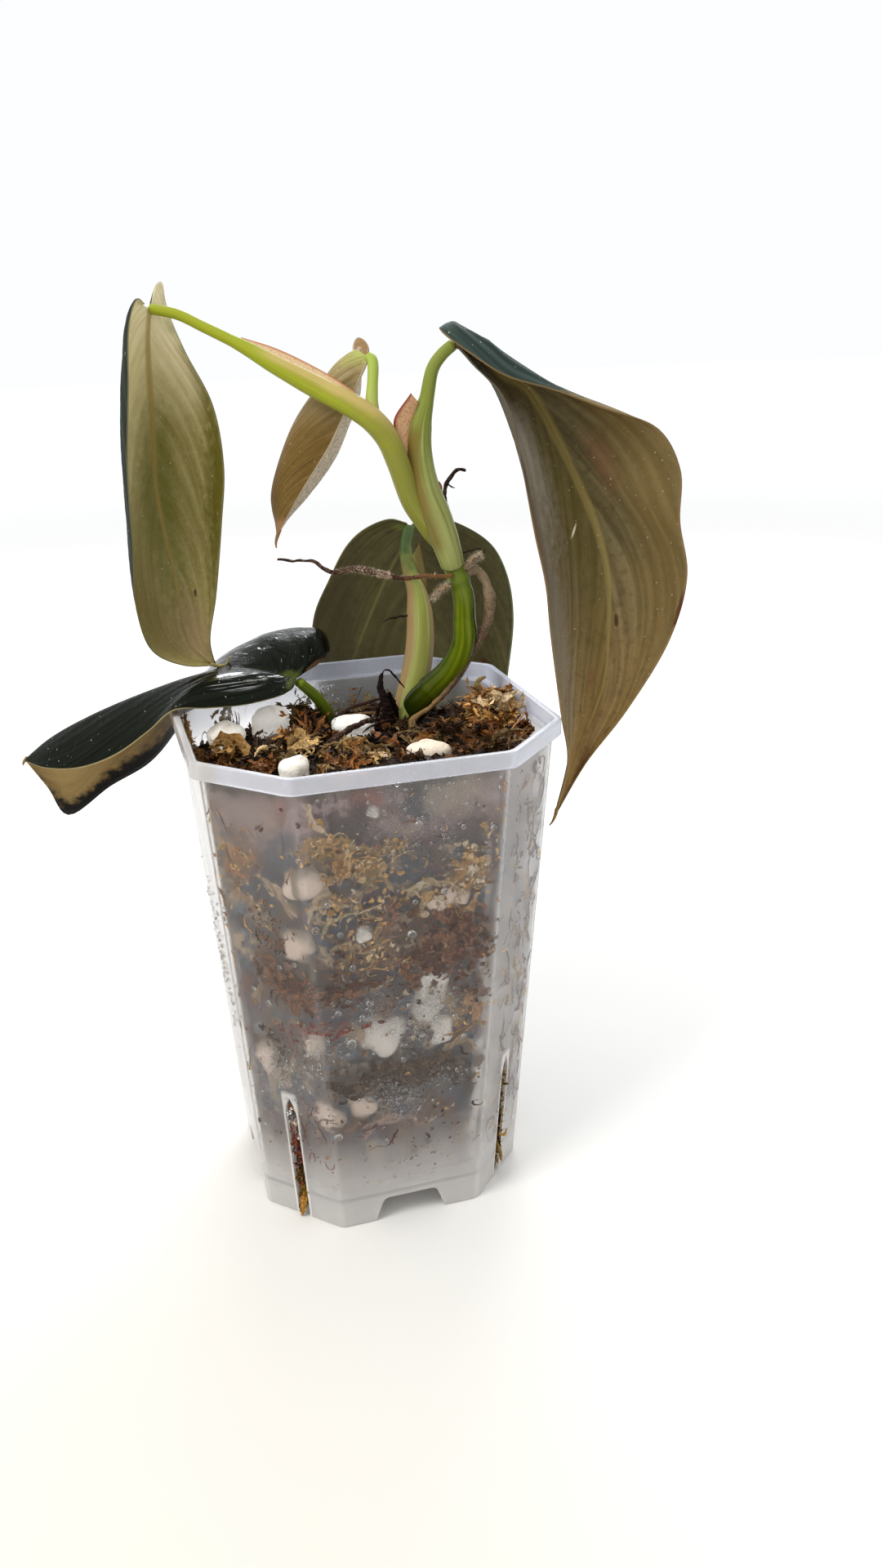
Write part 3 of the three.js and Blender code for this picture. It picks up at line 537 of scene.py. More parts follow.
# Each has its midrib from the stalk to the tip and the edges of its two halves. Left is the left half for
# one who looks at the upper face with the tip pointing away.
LEAVES = {
    "left": {
        "sweep": 1.7,
        "midrib": [
            (-36.5, 23.5, 207.5), (-37.5, 27, 199), (-38, 30, 184), (-38.5, 30.5, 168), (-36.5, 28.5, 150),
            (-34.5, 25, 133), (-29.5, 21.5, 127.5),
        ],
        "left": {
            "edge": [
                (-37.5, 22.5, 208.5), (-39, 20, 209.5), (-41.5, 15.5, 205), (-43.5, 12, 191),
                (-45.5, 11.5, 174.5), (-46, 14, 158), (-46.5, 18, 142.5), (-43.5, 21.5, 132),
                (-36.5, 22, 128), (-29.5, 21.5, 127.5),
            ],
            "bulge": [1, 2.4, 3.2, 3.2, 3.2, 3.2, 2.4, 1],
        },
        "right": {
            "edge": [
                (-36, 25, 208.5), (-34.5, 27, 212), (-33, 28.5, 213), (-32.5, 27.5, 208.5),
                (-30, 22.5, 199), (-25.5, 17, 187.5), (-24.5, 14.5, 174.5), (-26, 15, 162),
                (-28.5, 17, 145), (-30.5, 19.5, 134), (-29.5, 21.5, 127.5),
            ],
            "bulge": [0, 0, 2, 3, 3, 3, 2, 0],
        },
        "tail": [
            (-30.5, 21.5, 128), (-28.5, 21.3, 127.3), (-27, 21.2, 127.6), (-26.3, 21.2, 128.9),
            (-26.6, 21.2, 129.8),
        ],
        "look": {
            "under": ("#cfc394", "#e8ddb8"), "tip": ("#81763f", "#9c915c"), "tip_from": (0.05, 0.56),
            "patch": "#9a8b58", "patches": 0.3, "vein": "#c4ba90", "vein_strength": 0.18, "vein_width": 0.2,
            "rib": "#988348", "rib_width": 0.085, "over": ("#161d18", "#282f27"), "over_vein": "#4a5546",
            "over_rib": "#8b9a5e", "speck": "#e6dcc4", "margin": "#6d6748", "gloss": 0.6, "shine": 0.05,
            "washes": [
                (0.66, 0.12, 0.22, 0.28, "#5c5f20", 0.6), (0.62, -0.12, 0.2, 0.15, "#63651f", 0.5),
                (0.55, -0.9, 0.4, 0.3, "#554f1a", 1.0), (0.93, -0.3, 0.08, 0.8, "#8a6d58", 0.55),
                (0.22, -0.5, 0.16, 0.35, "#e4dab8", 0.6), (0.36, 0.5, 0.3, 0.4, "#e0d4a0", 0.65),
                (0.85, 0.6, 0.2, 0.4, "#7c6c42", 0.6),
            ],
            "spots": [(0.84, -0.35, 0.01, 0.04, "#4a2a18", 0.8)],
        },
    },
    "new": {
        "sweep": 1.5,
        "midrib": [
            (8.5, 11, 196.5), (5.7, 12.2, 190.5), (2.8, 13.9, 184), (0, 15, 178.4), (-4, 17, 172),
            (-7.8, 18, 166.3), (-10.8, 19, 161.4), (-12.7, 19.5, 158),
        ],
        "left": {
            "edge": [
                (7.5, 12, 197.5), (6.5, 14, 198), (3, 17, 195.5), (0.5, 18.5, 192.5), (-6, 22.5, 183.5),
                (-10, 25, 174.5), (-12.5, 25.5, 166.5), (-12.7, 24.5, 163), (-12.6, 21.5, 160),
                (-12.7, 19.5, 158),
            ],
            "bulge": [0, -2, -3, -3, -3, -2, 0],
        },
        "right": {
            "edge": [
                (8.7, 12, 197.6), (9.7, 15, 199), (8.9, 16.5, 200.2), (7.9, 17, 200.5), (7, 18, 198.6),
                (8.4, 21, 195), (8.7, 23, 188.5), (6, 24.5, 181), (2.6, 24.5, 174), (-0.8, 24.5, 169.5),
                (-4.2, 24, 165.8), (-7.4, 23, 163), (-10.2, 21.5, 160.7), (-12.7, 19.5, 158),
            ],
            "bulge": [0, -0.5, -1, -1, -1, -0.5, 0],
        },
        "tail": [(-12.2, 19.3, 159), (-12.8, 19.5, 157.4), (-13.2, 19.6, 156), (-13.2, 19.6, 154.8)],
        "look": {
            "under": ("#857349", "#a08e68"), "tip": ("#5c4518", "#705526"), "tip_from": (0.2, 0.6),
            "patch": "#7a6334", "patches": 0.3, "vein": "#a08a5c", "vein_strength": 0.2, "rib": "#d9c8b4",
            "rib_width": 0.03, "over": ("#7d6440", "#9c8560"), "over_vein": "#b49b78",
            "over_rib": "#d9c8b4", "speck": "#e0d2ba", "margin": "#b08c6c", "gloss": 0.4,
            "pale_half": ("#b0a28d", "#dccfbd"),
            "washes": [(0.0, 0.5, 0.14, 1.2, "#a9b25a", 0.8), (0.98, 0.0, 0.05, 1.5, "#a07a58", 0.7)],
            "spots": [(0.06, -0.8, 0.09, 0.6, "#85622c", 0.9)],
        },
    },
    "right": {
        "sweep": 1.7,
        "midrib": [
            (26.5, 4.5, 199), (31, 5.5, 197.5), (37.5, 6.5, 192.5), (43.5, 7.5, 190), (51, 8, 179.5),
            (56.5, 7, 169), (61, 6, 159), (64, 4, 147), (64, 2, 134.5), (62, -0.5, 119.5), (56, -3, 106.5),
            (47.5, -6, 88.5),
        ],
        "left": {
            "edge": [
                (27, 3.5, 198), (27.5, 1.5, 197.5), (30, -2.5, 193.5), (33.5, -5, 189.5), (36, -6.5, 184),
                (38, -8, 172.5), (40.5, -9, 158.5), (43, -9.5, 147), (44.5, -9, 135.5), (47.5, -9, 115),
                (49.5, -8.5, 103.5), (47.5, -6, 88.5),
            ],
            "bulge": [0, 0.3, 0.3, 0.3, 0.5, 1, 1, 1, 0],
        },
        "right": {
            "edge": [
                (25.5, 3, 200.3), (22, 0.5, 202.3), (22, -3.5, 201), (27, -6, 197), (34, -8, 192.5),
                (44.5, -10, 189.3), (55, -12, 185.3), (67, -15, 180.5), (72.5, -15.5, 171.5),
                (73.5, -14.5, 160), (76, -14.5, 147.5), (73.5, -12.5, 132.5), (64.5, -9, 114.5),
                (55, -6, 100.5), (47.5, -6, 88.5),
            ],
            "bulge": [3, 4, 1.2, 0.3, 0.8, 2.5, 3, 2, 0],
        },
        "tail": [(47.9, -6.1, 90), (47.4, -6, 88), (46.7, -6, 86.6), (46, -6, 85.8)],
        "look": {
            "under": ("#494028", "#706648"), "patch": "#664f31", "patches": 0.45, "tip_from": (0.55, 1.0),
            "tip": ("#7a6238", "#a88652"), "vein": "#8b8058", "vein_strength": 0.3, "vein_width": 0.22,
            "rib": "#8f7f4a", "rib_width": 0.13, "over": ("#27332f", "#3a4743"), "over_vein": "#4d5b50",
            "over_rib": "#8b9a5e", "speck": "#dcd2b8", "margin": "#94744a", "margin_strength": 0.5,
            "gloss": 0.55, "shine": 0.05, "streaks": 24, "threads": 0.05, "mottle": ("#453820", 0.35),
            "washes": [
                (0.5, -0.75, 0.35, 0.4, "#7a6438", 0.55), (0.3, -0.6, 0.06, 0.3, "#5f3d22", 0.5),
                (0.47, -0.35, 0.05, 0.14, "#7d523c", 0.45), (0.92, -0.6, 0.03, 0.4, "#70482c", 0.5),
                (0.28, 0.55, 0.22, 0.3, "#a0988b", 0.75), (0.55, 0.85, 0.3, 0.2, "#7f776a", 0.6),
                (0.35, 0.95, 0.2, 0.12, "#5a3d30", 0.5), (0.2, -0.45, 0.14, 0.4, "#4c4024", 0.6),
                (0.6, 0.2, 0.3, 0.25, "#6c6028", 0.4), (0.8, 0.32, 0.02, 0.05, "#80503a", 0.5),
            ],
            "spots": [
                (0.745, -0.12, 0.01, 0.035, "#45301c", 0.9), (0.64, -0.985, 0.035, 0.03, "#4a1f14", 0.8),
                (0.15, 1.0, 0.2, 0.35, "#5e5646", 1.0), (0.33, -1.0, 0.11, 0.25, "#75633f", 1.0),
                (0.86, -0.8, 0.008, 0.06, "#43301f", 0.7), (0.57, 0.27, 0.004, 0.06, "#ddd2b6", 1.0),
            ],
        },
    },
    "back": {
        "sweep": 1.8,
        "midrib": [
            (26, 44.5, 153), (27.5, 49, 142.5), (29, 52, 126.5), (31, 51.5, 105), (34.5, 48, 83.5),
            (38.5, 45, 62.5),
        ],
        "left": {
            "edge": [
                (25, 43.5, 154.5), (21, 45, 155.5), (14.5, 47, 153), (10, 48, 149), (5, 49.5, 140),
                (0.5, 51, 129.5), (0, 51, 113), (4.5, 50, 96.5), (17, 47, 76.5), (38.5, 45, 62.5),
            ],
            "bulge": [0, 1, 2, 2, 2, 1, 0],
        },
        "right": {
            "edge": [
                (27.5, 45, 154), (33, 46.5, 155), (41, 47, 152.5), (49.5, 46, 146.5), (53, 43.5, 138.5),
                (54, 41.5, 127.5), (52.5, 42, 111), (50, 42, 94.5), (45, 42, 77.5), (38.5, 45, 62.5),
            ],
            "bulge": [0, 1, 2, 3, 3, 2, 0],
        },
        "tail": [(38, 45, 64), (38.7, 45, 61.8), (39.3, 45, 60.2), (39.6, 45, 59.4)],
        "look": {
            "under": ("#555030", "#6d6743"), "patch": "#4e4628", "patches": 0.4,
            "line": ((1, 0, -0.44), 40.2, "#8a8250"), "mottle": ("#3c3824", 0.25), "vein": "#5c5430",
            "vein_strength": 0.12, "vein_width": 0.2, "rib": "#6e6a38", "rib_width": 0.035,
            "over": ("#26332f", "#3a4843"), "over_vein": "#4f6053", "over_rib": "#7f8f55",
            "speck": "#8d8462", "margin": "#8d9068", "gloss": 0.34,
            "spots": [
                (0.02, 0.1, 0.07, 0.5, "#7f8f3e", 0.6), (0.55, -0.75, 0.012, 0.06, "#4f2f18", 0.8),
                (0.4, 0.8, 0.3, 0.3, "#4d4430", 0.5),
            ],
            "washes": [(0.2, -0.6, 0.4, 0.5, "#3c3720", 0.75), (0.35, -0.99, 0.4, 0.03, "#26332c", 0.5)],
        },
    },
    "front": {
        "sweep": 1.7, "fold": 0.04,
        "midrib": [
            (-11.5, 14, 124.5), (-17.5, 14.5, 126.5), (-25, 16.5, 127.5), (-33.5, 19, 126.5),
            (-46, 22.5, 122.5), (-60, 27, 116.5), (-70, 31.5, 110.5), (-76.5, 34, 105),
        ],
        "left": {
            "edge": [
                (-13, 11, 123), (-16, 8, 122.5), (-25.5, 6.5, 121.5), (-34, 7, 121.5), (-41.5, 8, 121.5),
                (-47.5, 10, 116.5), (-55.5, 13.5, 110.5), (-64, 19, 106.5), (-72, 26.5, 105),
                (-76.5, 34, 105),
            ],
            "bulge": [0, 1, 2, 2, 2, 2, 1, 0],
        },
        "right": {
            "edge": [
                (-10, 15.5, 125), (-5.5, 18.5, 126), (-1.5, 22.5, 128), (-1.5, 28.5, 131.5),
                (-7.5, 36.5, 130.5), (-17.5, 42.5, 126), (-29, 46, 119), (-37.5, 47, 105.5),
                (-46, 46.5, 96.5), (-57, 46.5, 91), (-68.5, 47.5, 84), (-72.5, 42.5, 94), (-76.5, 34, 105),
            ],
            "bulge": [0, 4.5, 4.5, 2, 3, 4, 2, 0],
        },
        "tail": [(-75.8, 33.8, 105.6), (-76.6, 34, 104.8), (-77, 34.2, 104.2), (-77.1, 34.3, 103.6)],
        "look": {
            "under": ("#745c34", "#9a7f50"), "patch": "#584224", "patches": 0.5, "vein": "#b4a060",
            "vein_strength": 0.12, "rib": "#a08a4c", "rib_width": 0.05,
            "washes": [(0.35, -0.7, 0.35, 0.9, "#33281a", 0.9), (0.85, -0.5, 0.2, 0.5, "#ab925c", 0.6)],
            "over": ("#0d100b", "#1a1e17"), "over_vein": "#1d211b", "over_rib": "#1b2016", "wrinkles": 0.9,
            "speck": "#b9b39c", "margin": "#b8a878", "gloss": 0.1, "grain": 0.3, "relief": 0.1,
            "shine": 0.05,
            "gleams": [(0.28, 0.42, 0.1, 0.28, 0.47, 0.75), (0.17, 0.1, 0.08, 0.12, 0.54, 0.5)],
            "flecks": [
                (0.2, -0.6, 0.2, 0.7, 0.65, 0.6), (0.32, -0.6, 0.1, 0.5, 0.6, 0.7),
                (0.75, 0, 0.3, 1, 0.69, 0.2),
            ],
            "spots": [
                (0.62, -1.0, 0.34, 0.18, "#070404", 1.0), (0.1, -1.0, 0.06, 0.3, "#0c0908", 1.0),
                (0.035, -0.85, 0.03, 0.4, "#86644a", 0.8), (0.19, -0.95, 0.05, 0.25, "#050505", 0.9),
                (0.03, 0.3, 0.06, 0.6, "#5b6434", 0.6), (0.1, 0.02, 0.08, 0.1, "#5c6630", 0.6),
            ],
        },
    },
}


def blade_surface(leaf, parts, across):
    """The points of a leaf for rows of parts from 0 to 1 and columns of places across from -1 to 1."""
    midrib = Curve(leaf["midrib"])
    u = TIP_END * parts ** ROW_CROWDING
    steady = np.clip(u, STEADY_FROM, STEADY_TO)
    rib = midrib.even(u ** leaf["sweep"])
    halves = []
    for half, sign in ((leaf["right"], -1), (leaf["left"], 1)):
        edge = Curve(half["edge"])
        chord = edge.even(u) - rib
        steady_chord = edge.even(steady) - midrib.even(steady ** leaf["sweep"])
        lift = sign * unit(np.cross(midrib.tangent(steady ** leaf["sweep"]), steady_chord))
        outward = np.abs(across[across * sign > 0] if sign < 0 else across[across >= 0])
        bulge = 4 * along(half["bulge"], u)[:, None] * outward * (1 - outward)
        flat = rib[:, None] + chord[:, None] * outward[None, :, None]
        halves.append(flat + lift[:, None] * bulge[..., None])
    return np.concatenate(halves, axis=1), u


def steady_normals(points):
    """Normals of a grid of points, which keep to one side and change softly where the rows crowd together."""
    crossed = np.cross(np.gradient(points, axis=0), np.gradient(points, axis=1))
    lengths = np.linalg.norm(crossed, axis=-1)
    normals = unit(crossed)
    middle = len(points) // 2
    for row in [*range(middle - 1, -1, -1), *range(middle + 1, len(points))]:
        before = normals[row + 1] if row < middle else normals[row - 1]
        facing = (normals[row] * before).sum(axis=-1, keepdims=True)
        trust = np.clip(lengths[row] / (0.2 * np.median(lengths[middle])), 0, 1)[:, None]
        normals[row] = unit(before + trust * (np.sign(facing) * normals[row] - before))
    for _ in range(4):
        padded = np.pad(normals, ((1, 1), (1, 1), (0, 0)), mode="edge")
        normals = unit(padded[:-2, 1:-1] + padded[2:, 1:-1] + padded[1:-1, :-2] + padded[1:-1, 2:] + normals)
    return normals


def blade_faces_apart(points, u, across, fold):
    """The upper and the lower face, with a raised midrib and shallow folds along the veins."""
    u_grid, v_grid = np.meshgrid(u, across, indexing="ij")
    outward = np.abs(v_grid)
    vein = (u_grid - VEIN_SWEEP * outward ** VEIN_POWER) * VEIN_COUNT
    inside = smooth(0, 0.2, outward) * smooth(1, 0.8, outward)
    inside = inside * smooth(0, 0.15, u_grid) * smooth(1, 0.8, u_grid)
    folds = fold * np.cos(vein * 2 * math.pi) * inside
    ridge = np.exp(-(outward / 0.045) ** 2) * (1 - 0.75 * u_grid)
    thin = 0.5 + 0.5 * smooth(1.0, 0.85, outward)
    normals = steady_normals(points)
    upper = points + normals * (BLADE_THICK / 2 * thin - 0.25 * ridge + folds)[..., None]
    lower = points - normals * (BLADE_THICK / 2 * thin + 0.45 * ridge - folds)[..., None]
    return upper.reshape(-1, 3), lower.reshape(-1, 3), u_grid.ravel(), v_grid.ravel()


def blade(name, leaf):
    """A leaf blade: a thin closed sheet that ends in a narrow curled tail."""
    half = np.linspace(0, 1, BLADE_COLUMNS // 2 + 1) ** 1.25
    across = np.concatenate([-half[:0:-1], half])
    points, u = blade_surface(leaf, np.linspace(0, 1, BLADE_ROWS + 1), across)
    upper, lower, u_grid, v_grid = blade_faces_apart(points, u, across, leaf.get("fold", 0.12))
    tail, tail_faces, _ = tube(leaf["tail"], [0.55, 0.45, 0.32, 0.15], 12, 8)
    start = 2 * len(upper)
    faces = [sheet_faces(BLADE_ROWS, BLADE_COLUMNS), *(part + start for part in tail_faces)]
    numbers = {
        "along": np.concatenate([u_grid, u_grid, np.full(len(tail), 1.0)]),
        "across": np.concatenate([v_grid, v_grid, np.full(len(tail), 0.3)]),
        "upper": np.concatenate([np.ones(len(upper)), np.zeros(len(lower) + len(tail))]),
    }
    material = LeafSkin(f"leaf_{name}", leaf["look"]).finished()
    piece = mesh_object(f"leaf_{name}", np.vstack([upper, lower, tail]), faces, [material], numbers=numbers)
    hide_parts(f"blade_{name}")


for leaf_name, leaf in LEAVES.items():
    blade(leaf_name, leaf)


# The stem and the leaf stalks

STEM = {
    "radii": [2.6, 3.2, 3.7, 3.7, 3.4, 3.0, 2.6, 2.4],
    "path": [
        (9, 21, 88), (12.6, 19, 102), (17.3, 16.4, 112), (22.2, 13.1, 118.5), (26.4, 10, 124),
        (28.7, 7.5, 131), (28.5, 6.5, 137.5), (28, 5.5, 143), (26, 6, 149.5),
    ],
}

# A flush is a tone on the side that faces one way: which way, from and to along the stalk, its shade. A
# sheath is the free tip of the sheet that wraps the stalk, between a line on the stalk and an outer one.
STALKS = {
    "right": {
        "radii": [2.8, 3.4, 3.5, 3.4, 3.1, 2.7, 1.6, 1.4, 1.3],
        "path": [
            (25.7, 6, 150.2), (25, 5.5, 152.5), (22.5, 6, 160.5), (19.5, 6.5, 168.5), (18.5, 7, 176),
            (19, 7, 182), (20.5, 6.5, 187.5), (22, 6, 194), (24, 5.5, 196.8), (26.3, 4.7, 198.8),
        ],
        "sheath": {
            "inner": [(16, 6.5, 174), (17.5, 6.5, 180.5), (18.8, 6, 186.5)],
            "outer": [(14.5, 5.5, 177.5), (12.5, 5.5, 183), (16.5, 5, 189)],
        },
        "look": {
            "low": "#94995a", "high": "#7b8438", "change": (0.3, 0.7), "stripe": "#6e6a34", "stripes": 0.8,
            "stripe_end": 0.72, "sheath": "#c9a078", "sheath_edge": "#7a2f1e",
            "flushes": [("faces_left", 0.1, 0.62, "#6e5c28"), ("faces_left", 0.3, 0.6, "#7a6630")],
        },
    },
    "left": {
        "radii": [0.9, 2.3, 2.5, 2.6, 2.7, 2.6, 2.4, 1.9, 1.2, 1.1, 1.1],
        "path": [
            (25.8, 6.5, 149.8), (24.8, 7.2, 152), (22, 7.6, 156.8), (19.2, 7.2, 161), (16.4, 6.6, 165.5),
            (13, 5, 174.5), (10.7, 4.6, 179.8), (7.5, 5, 183.8), (2.5, 7.5, 187.5), (-2, 10, 190),
            (-11, 13.5, 195.2), (-18, 17, 199.5), (-25.5, 20, 203.5), (-31, 22, 206.3),
            (-36.3, 23.5, 207.5),
        ],
        "sheath": {
            "inner": [(4.5, 8, 186.5), (-1, 10.5, 190.5), (-11, 14, 195.7), (-16, 16, 198.5)],
            "outer": [(5, 9.5, 189.5), (-1, 13, 193.7), (-10.5, 16, 198.7), (-18, 18, 201.3)],
        },
        "look": {
            "low": "#868838", "high": "#929a24", "change": (0.3, 0.6), "stripe": "#8e7440", "stripes": 0.5,
            "stripe_end": 0.8, "sheath": "#d2ba92", "sheath_edge": "#b8754e",
            "flushes": [("faces_up", 0.3, 0.72, "#c0a46c")],
        },
    },
    "new": {
        "radii": [1.6, 1.4, 1.2, 1.2, 1.1],
        "path": [
            (8, 6, 185), (8, 6.5, 187.5), (8.5, 7.5, 190.5), (9.2, 9, 194.5), (9.3, 10, 196),
            (8.7, 11, 196.7),
        ],
        "look": {
            "low": "#a3a95a", "high": "#97a847", "change": (0.1, 0.5), "stripe": "#b8ac7a", "stripes": 0.2,
            "stripe_end": 1.0,
        },
    },
    "back": {
        "radii": [2.2, 2.6, 3.3, 3.7, 3.6, 3.3, 2.1, 1.7, 1.5],
        "path": [
            (12, 21.5, 98), (15.2, 15.8, 110.6), (16.8, 17.8, 114), (20.1, 21, 120.2), (22.3, 24.2, 126.4),
            (23.5, 27.5, 132.5), (24, 31.5, 138.5), (23.5, 36, 143.5), (24, 41, 148.5), (26, 44.4, 153),
        ],
        "sheath": {
            "inner": [(24.5, 32.5, 137.5), (24.5, 35.5, 143), (24.5, 37.5, 146.5)],
            "outer": [(27, 31.5, 138), (27.5, 34.5, 143), (27, 37.5, 150.5)],
        },
        "look": {
            "low": "#8f9648", "high": "#475c34", "change": (0.66, 0.95), "stripe": "#8a7444",
            "stripes": 0.6, "stripe_end": 0.8, "sheath": "#7a6c40", "sheath_edge": "#5a4824",
            "edges": "#937450",
        },
    },
    "front": {
        "radii": [1.5, 1.5, 1.5, 1.4, 1.2],
        "path": [
            (2, 25, 97), (-2, 23.5, 108), (-2.5, 22.5, 111.5), (-5.5, 19.5, 117), (-9.3, 15.6, 121.6),
            (-10.8, 14.4, 123.2),
        ],
        "look": {
            "low": "#5c6f14", "high": "#6a7f1c", "change": (0.3, 0.9), "stripe": "#4a5a12", "stripes": 0.4,
            "stripe_end": 1.0,
        },
    },
}


def stalk_material(name, look):
    """A green stalk, paler or darker further along, with fine stripes along it."""
    s = Shader(name)
    part = s.read("along")
    around = s.join(s.read("turn_cos") * 4.0, s.read("turn_sin") * 4.0, part * 1.5)
    streaks = s.noise(1.0, around, detail=5.0)
    blotches = s.noise(0.35)
    grain = s.noise(2.5, detail=2.0)
    colour = s.mix(s.band(part + (blotches - 0.5) * 0.3, *look["change"]), look["low"], look["high"])
    stripe_end = s.band(part, look["stripe_end"] + 0.1, look["stripe_end"] - 0.1)
    colour = s.mix(s.band(streaks, 0.5, 0.66) * look["stripes"] * stripe_end, colour, look["stripe"])
    pale = s.band(streaks, 0.46, 0.3) * s.between(s.band(part, 0.85, 0.6), 0.08, 0.3)
    colour = s.mix(pale, colour, "#cfcf8c")
    colour = s.mix(s.band(s.cells(0.9), 0.16, 0.1) * 0.35, colour, look["stripe"])
    if "edges" in look:
        sideways = s.band(abs(s.read("faces_left")) + streaks * 0.9, 0.8, 1.2) * s.band(part, 0.9, 0.7)
        colour = s.mix(sideways * 0.85, colour, look["edges"])
    for facing, low, high, shade in look.get("flushes", ()):
        flushed = s.band(s.read(facing), 0.0, 0.7) * s.band(part, low - 0.06, low + 0.04)
        flushed = flushed * s.band(part, high + 0.04, high - 0.04)
        colour = s.mix(flushed * s.between(streaks, 0.5, 1.0), colour, shade)
    if "sheath" in look:
        sheet = s.read("sheath")
        freckled = s.mix(s.band(grain, 0.45, 0.65), look["sheath"], look["sheath_edge"])
        freckled = s.mix(s.band(sheet, 0.78, 1.0), s.mix(0.6, freckled, look["sheath"]), look["sheath_edge"])
        colour = s.mix(s.band(sheet, 0.05, 0.5), colour, freckled)
    return s.done(base_color=colour, roughness=s.between(blotches, 0.3, 0.5), specular_ior_level=0.12,
                  normal=s.bump(streaks * 0.5 + grain * 0.15, 0.2, 0.4))


def sheath_sheet(sheath):
    """The free tip of a sheath: points and squares of a thin closed sheet, and how far across each is."""
    rows, columns, thick = 90, 6, 0.45
    inner = Curve(sheath["inner"]).at(np.linspace(0, 1, rows + 1))
    outer = Curve(sheath["outer"]).at(np.linspace(0, 1, rows + 1))
    across = np.linspace(-0.15, 1, columns + 1)
    middle = inner[:, None] + (outer - inner)[:, None] * across[None, :, None]
    normals = unit(np.cross(np.gradient(middle, axis=0), np.gradient(middle, axis=1)))
    cup = 0.5 * (across * (1 - across))[None, :, None]
    thin = (thick * (1 - 0.7 * np.clip(across, 0, 1)) / 2)[None, :, None]
    points = np.vstack([(middle + normals * (cup + side * thin)).reshape(-1, 3) for side in (1, -1)])
    return points, sheet_faces(rows, columns), np.clip(np.tile(np.tile(across, rows + 1), 2), 0, 1)


def stalk(name, stalk):
    def ribbed(part, turn):
        return 1 + 0.012 * np.cos(9 * turn + 3 * part) + 0.02 * np.cos(2 * turn + 5 * part)

    points, faces, numbers = tube(stalk["path"], stalk["radii"], 90, 28, ribbed)
    numbers["sheath"] = np.zeros(len(points))
    if "sheath" in stalk:
        sheet, sheet_squares, across = sheath_sheet(stalk["sheath"])
        faces.append(sheet_squares + len(points))
        points = np.vstack([points, sheet])
        for key in numbers:
            numbers[key] = np.append(numbers[key], across if key == "sheath" else np.full(len(sheet), 0.5))
    material = stalk_material(f"petiole_{name}", stalk["look"])
    piece = mesh_object(f"petiole_{name}", points, faces, [material], numbers=numbers)
    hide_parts(f"stalk_{name}")


for stalk_name, description in STALKS.items():
    stalk(stalk_name, description)


def stem_material():
    """The glossy green stem, darker at the soil, with painted shade towards both sides, streaks and a brown
    scar.
    """
    s = Shader("stem_skin")
    part, turn_cos = s.read("along"), s.read("turn_cos")
    around = s.join(turn_cos * 3.0, s.read("turn_sin") * 3.0, part * 2.5)
    streaks = s.noise(1.0, around, detail=5.0)
    blotches = s.noise(0.3)
    colour = s.mix(s.band(streaks, 0.3, 0.7), "#526409", "#7d881a")
    # painted shade: the stem grows darker towards both sides, away from the front
    facing = s.read("faces_front") + (blotches - 0.5) * 0.5
    colour = s.mix(s.band(facing, 0.92, 0.35), colour, "#2f3f04")
    colour = s.mix(s.band(part, 0.84, 0.97), colour, "#5d6c1e")
    colour = s.mix(s.band(part, 0.72, 0.38), colour, "#1c2400")
    scar = s.band(turn_cos, 0.3, 0.8) * s.band(blotches, 0.42, 0.6)
    colour = s.mix(scar * 0.75, colour, "#7d5a34")
    return s.done(base_color=colour, roughness=s.between(blotches, 0.1, 0.26), specular_ior_level=0.16,
                  normal=s.bump(streaks * 0.1 + blotches * 0.8, 0.25, 0.4))


def stem():
    def ringed(part, turn):
        ring = 0.1 * np.exp(-((part - 0.955) / 0.012) ** 2) - 0.05 * np.exp(-((part - 0.93) / 0.01) ** 2)
        ring = ring + 0.07 * np.exp(-((part - 0.5) / 0.012) ** 2)
        return 1 + ring + 0.03 * np.cos(2 * turn + 4 * part)

    points, faces, numbers = tube(STEM["path"], STEM["radii"], 140, 32, ringed)
    piece = mesh_object("green_stem", points, faces, [stem_material()], numbers=numbers)
    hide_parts("stem")


stem()


# The roots

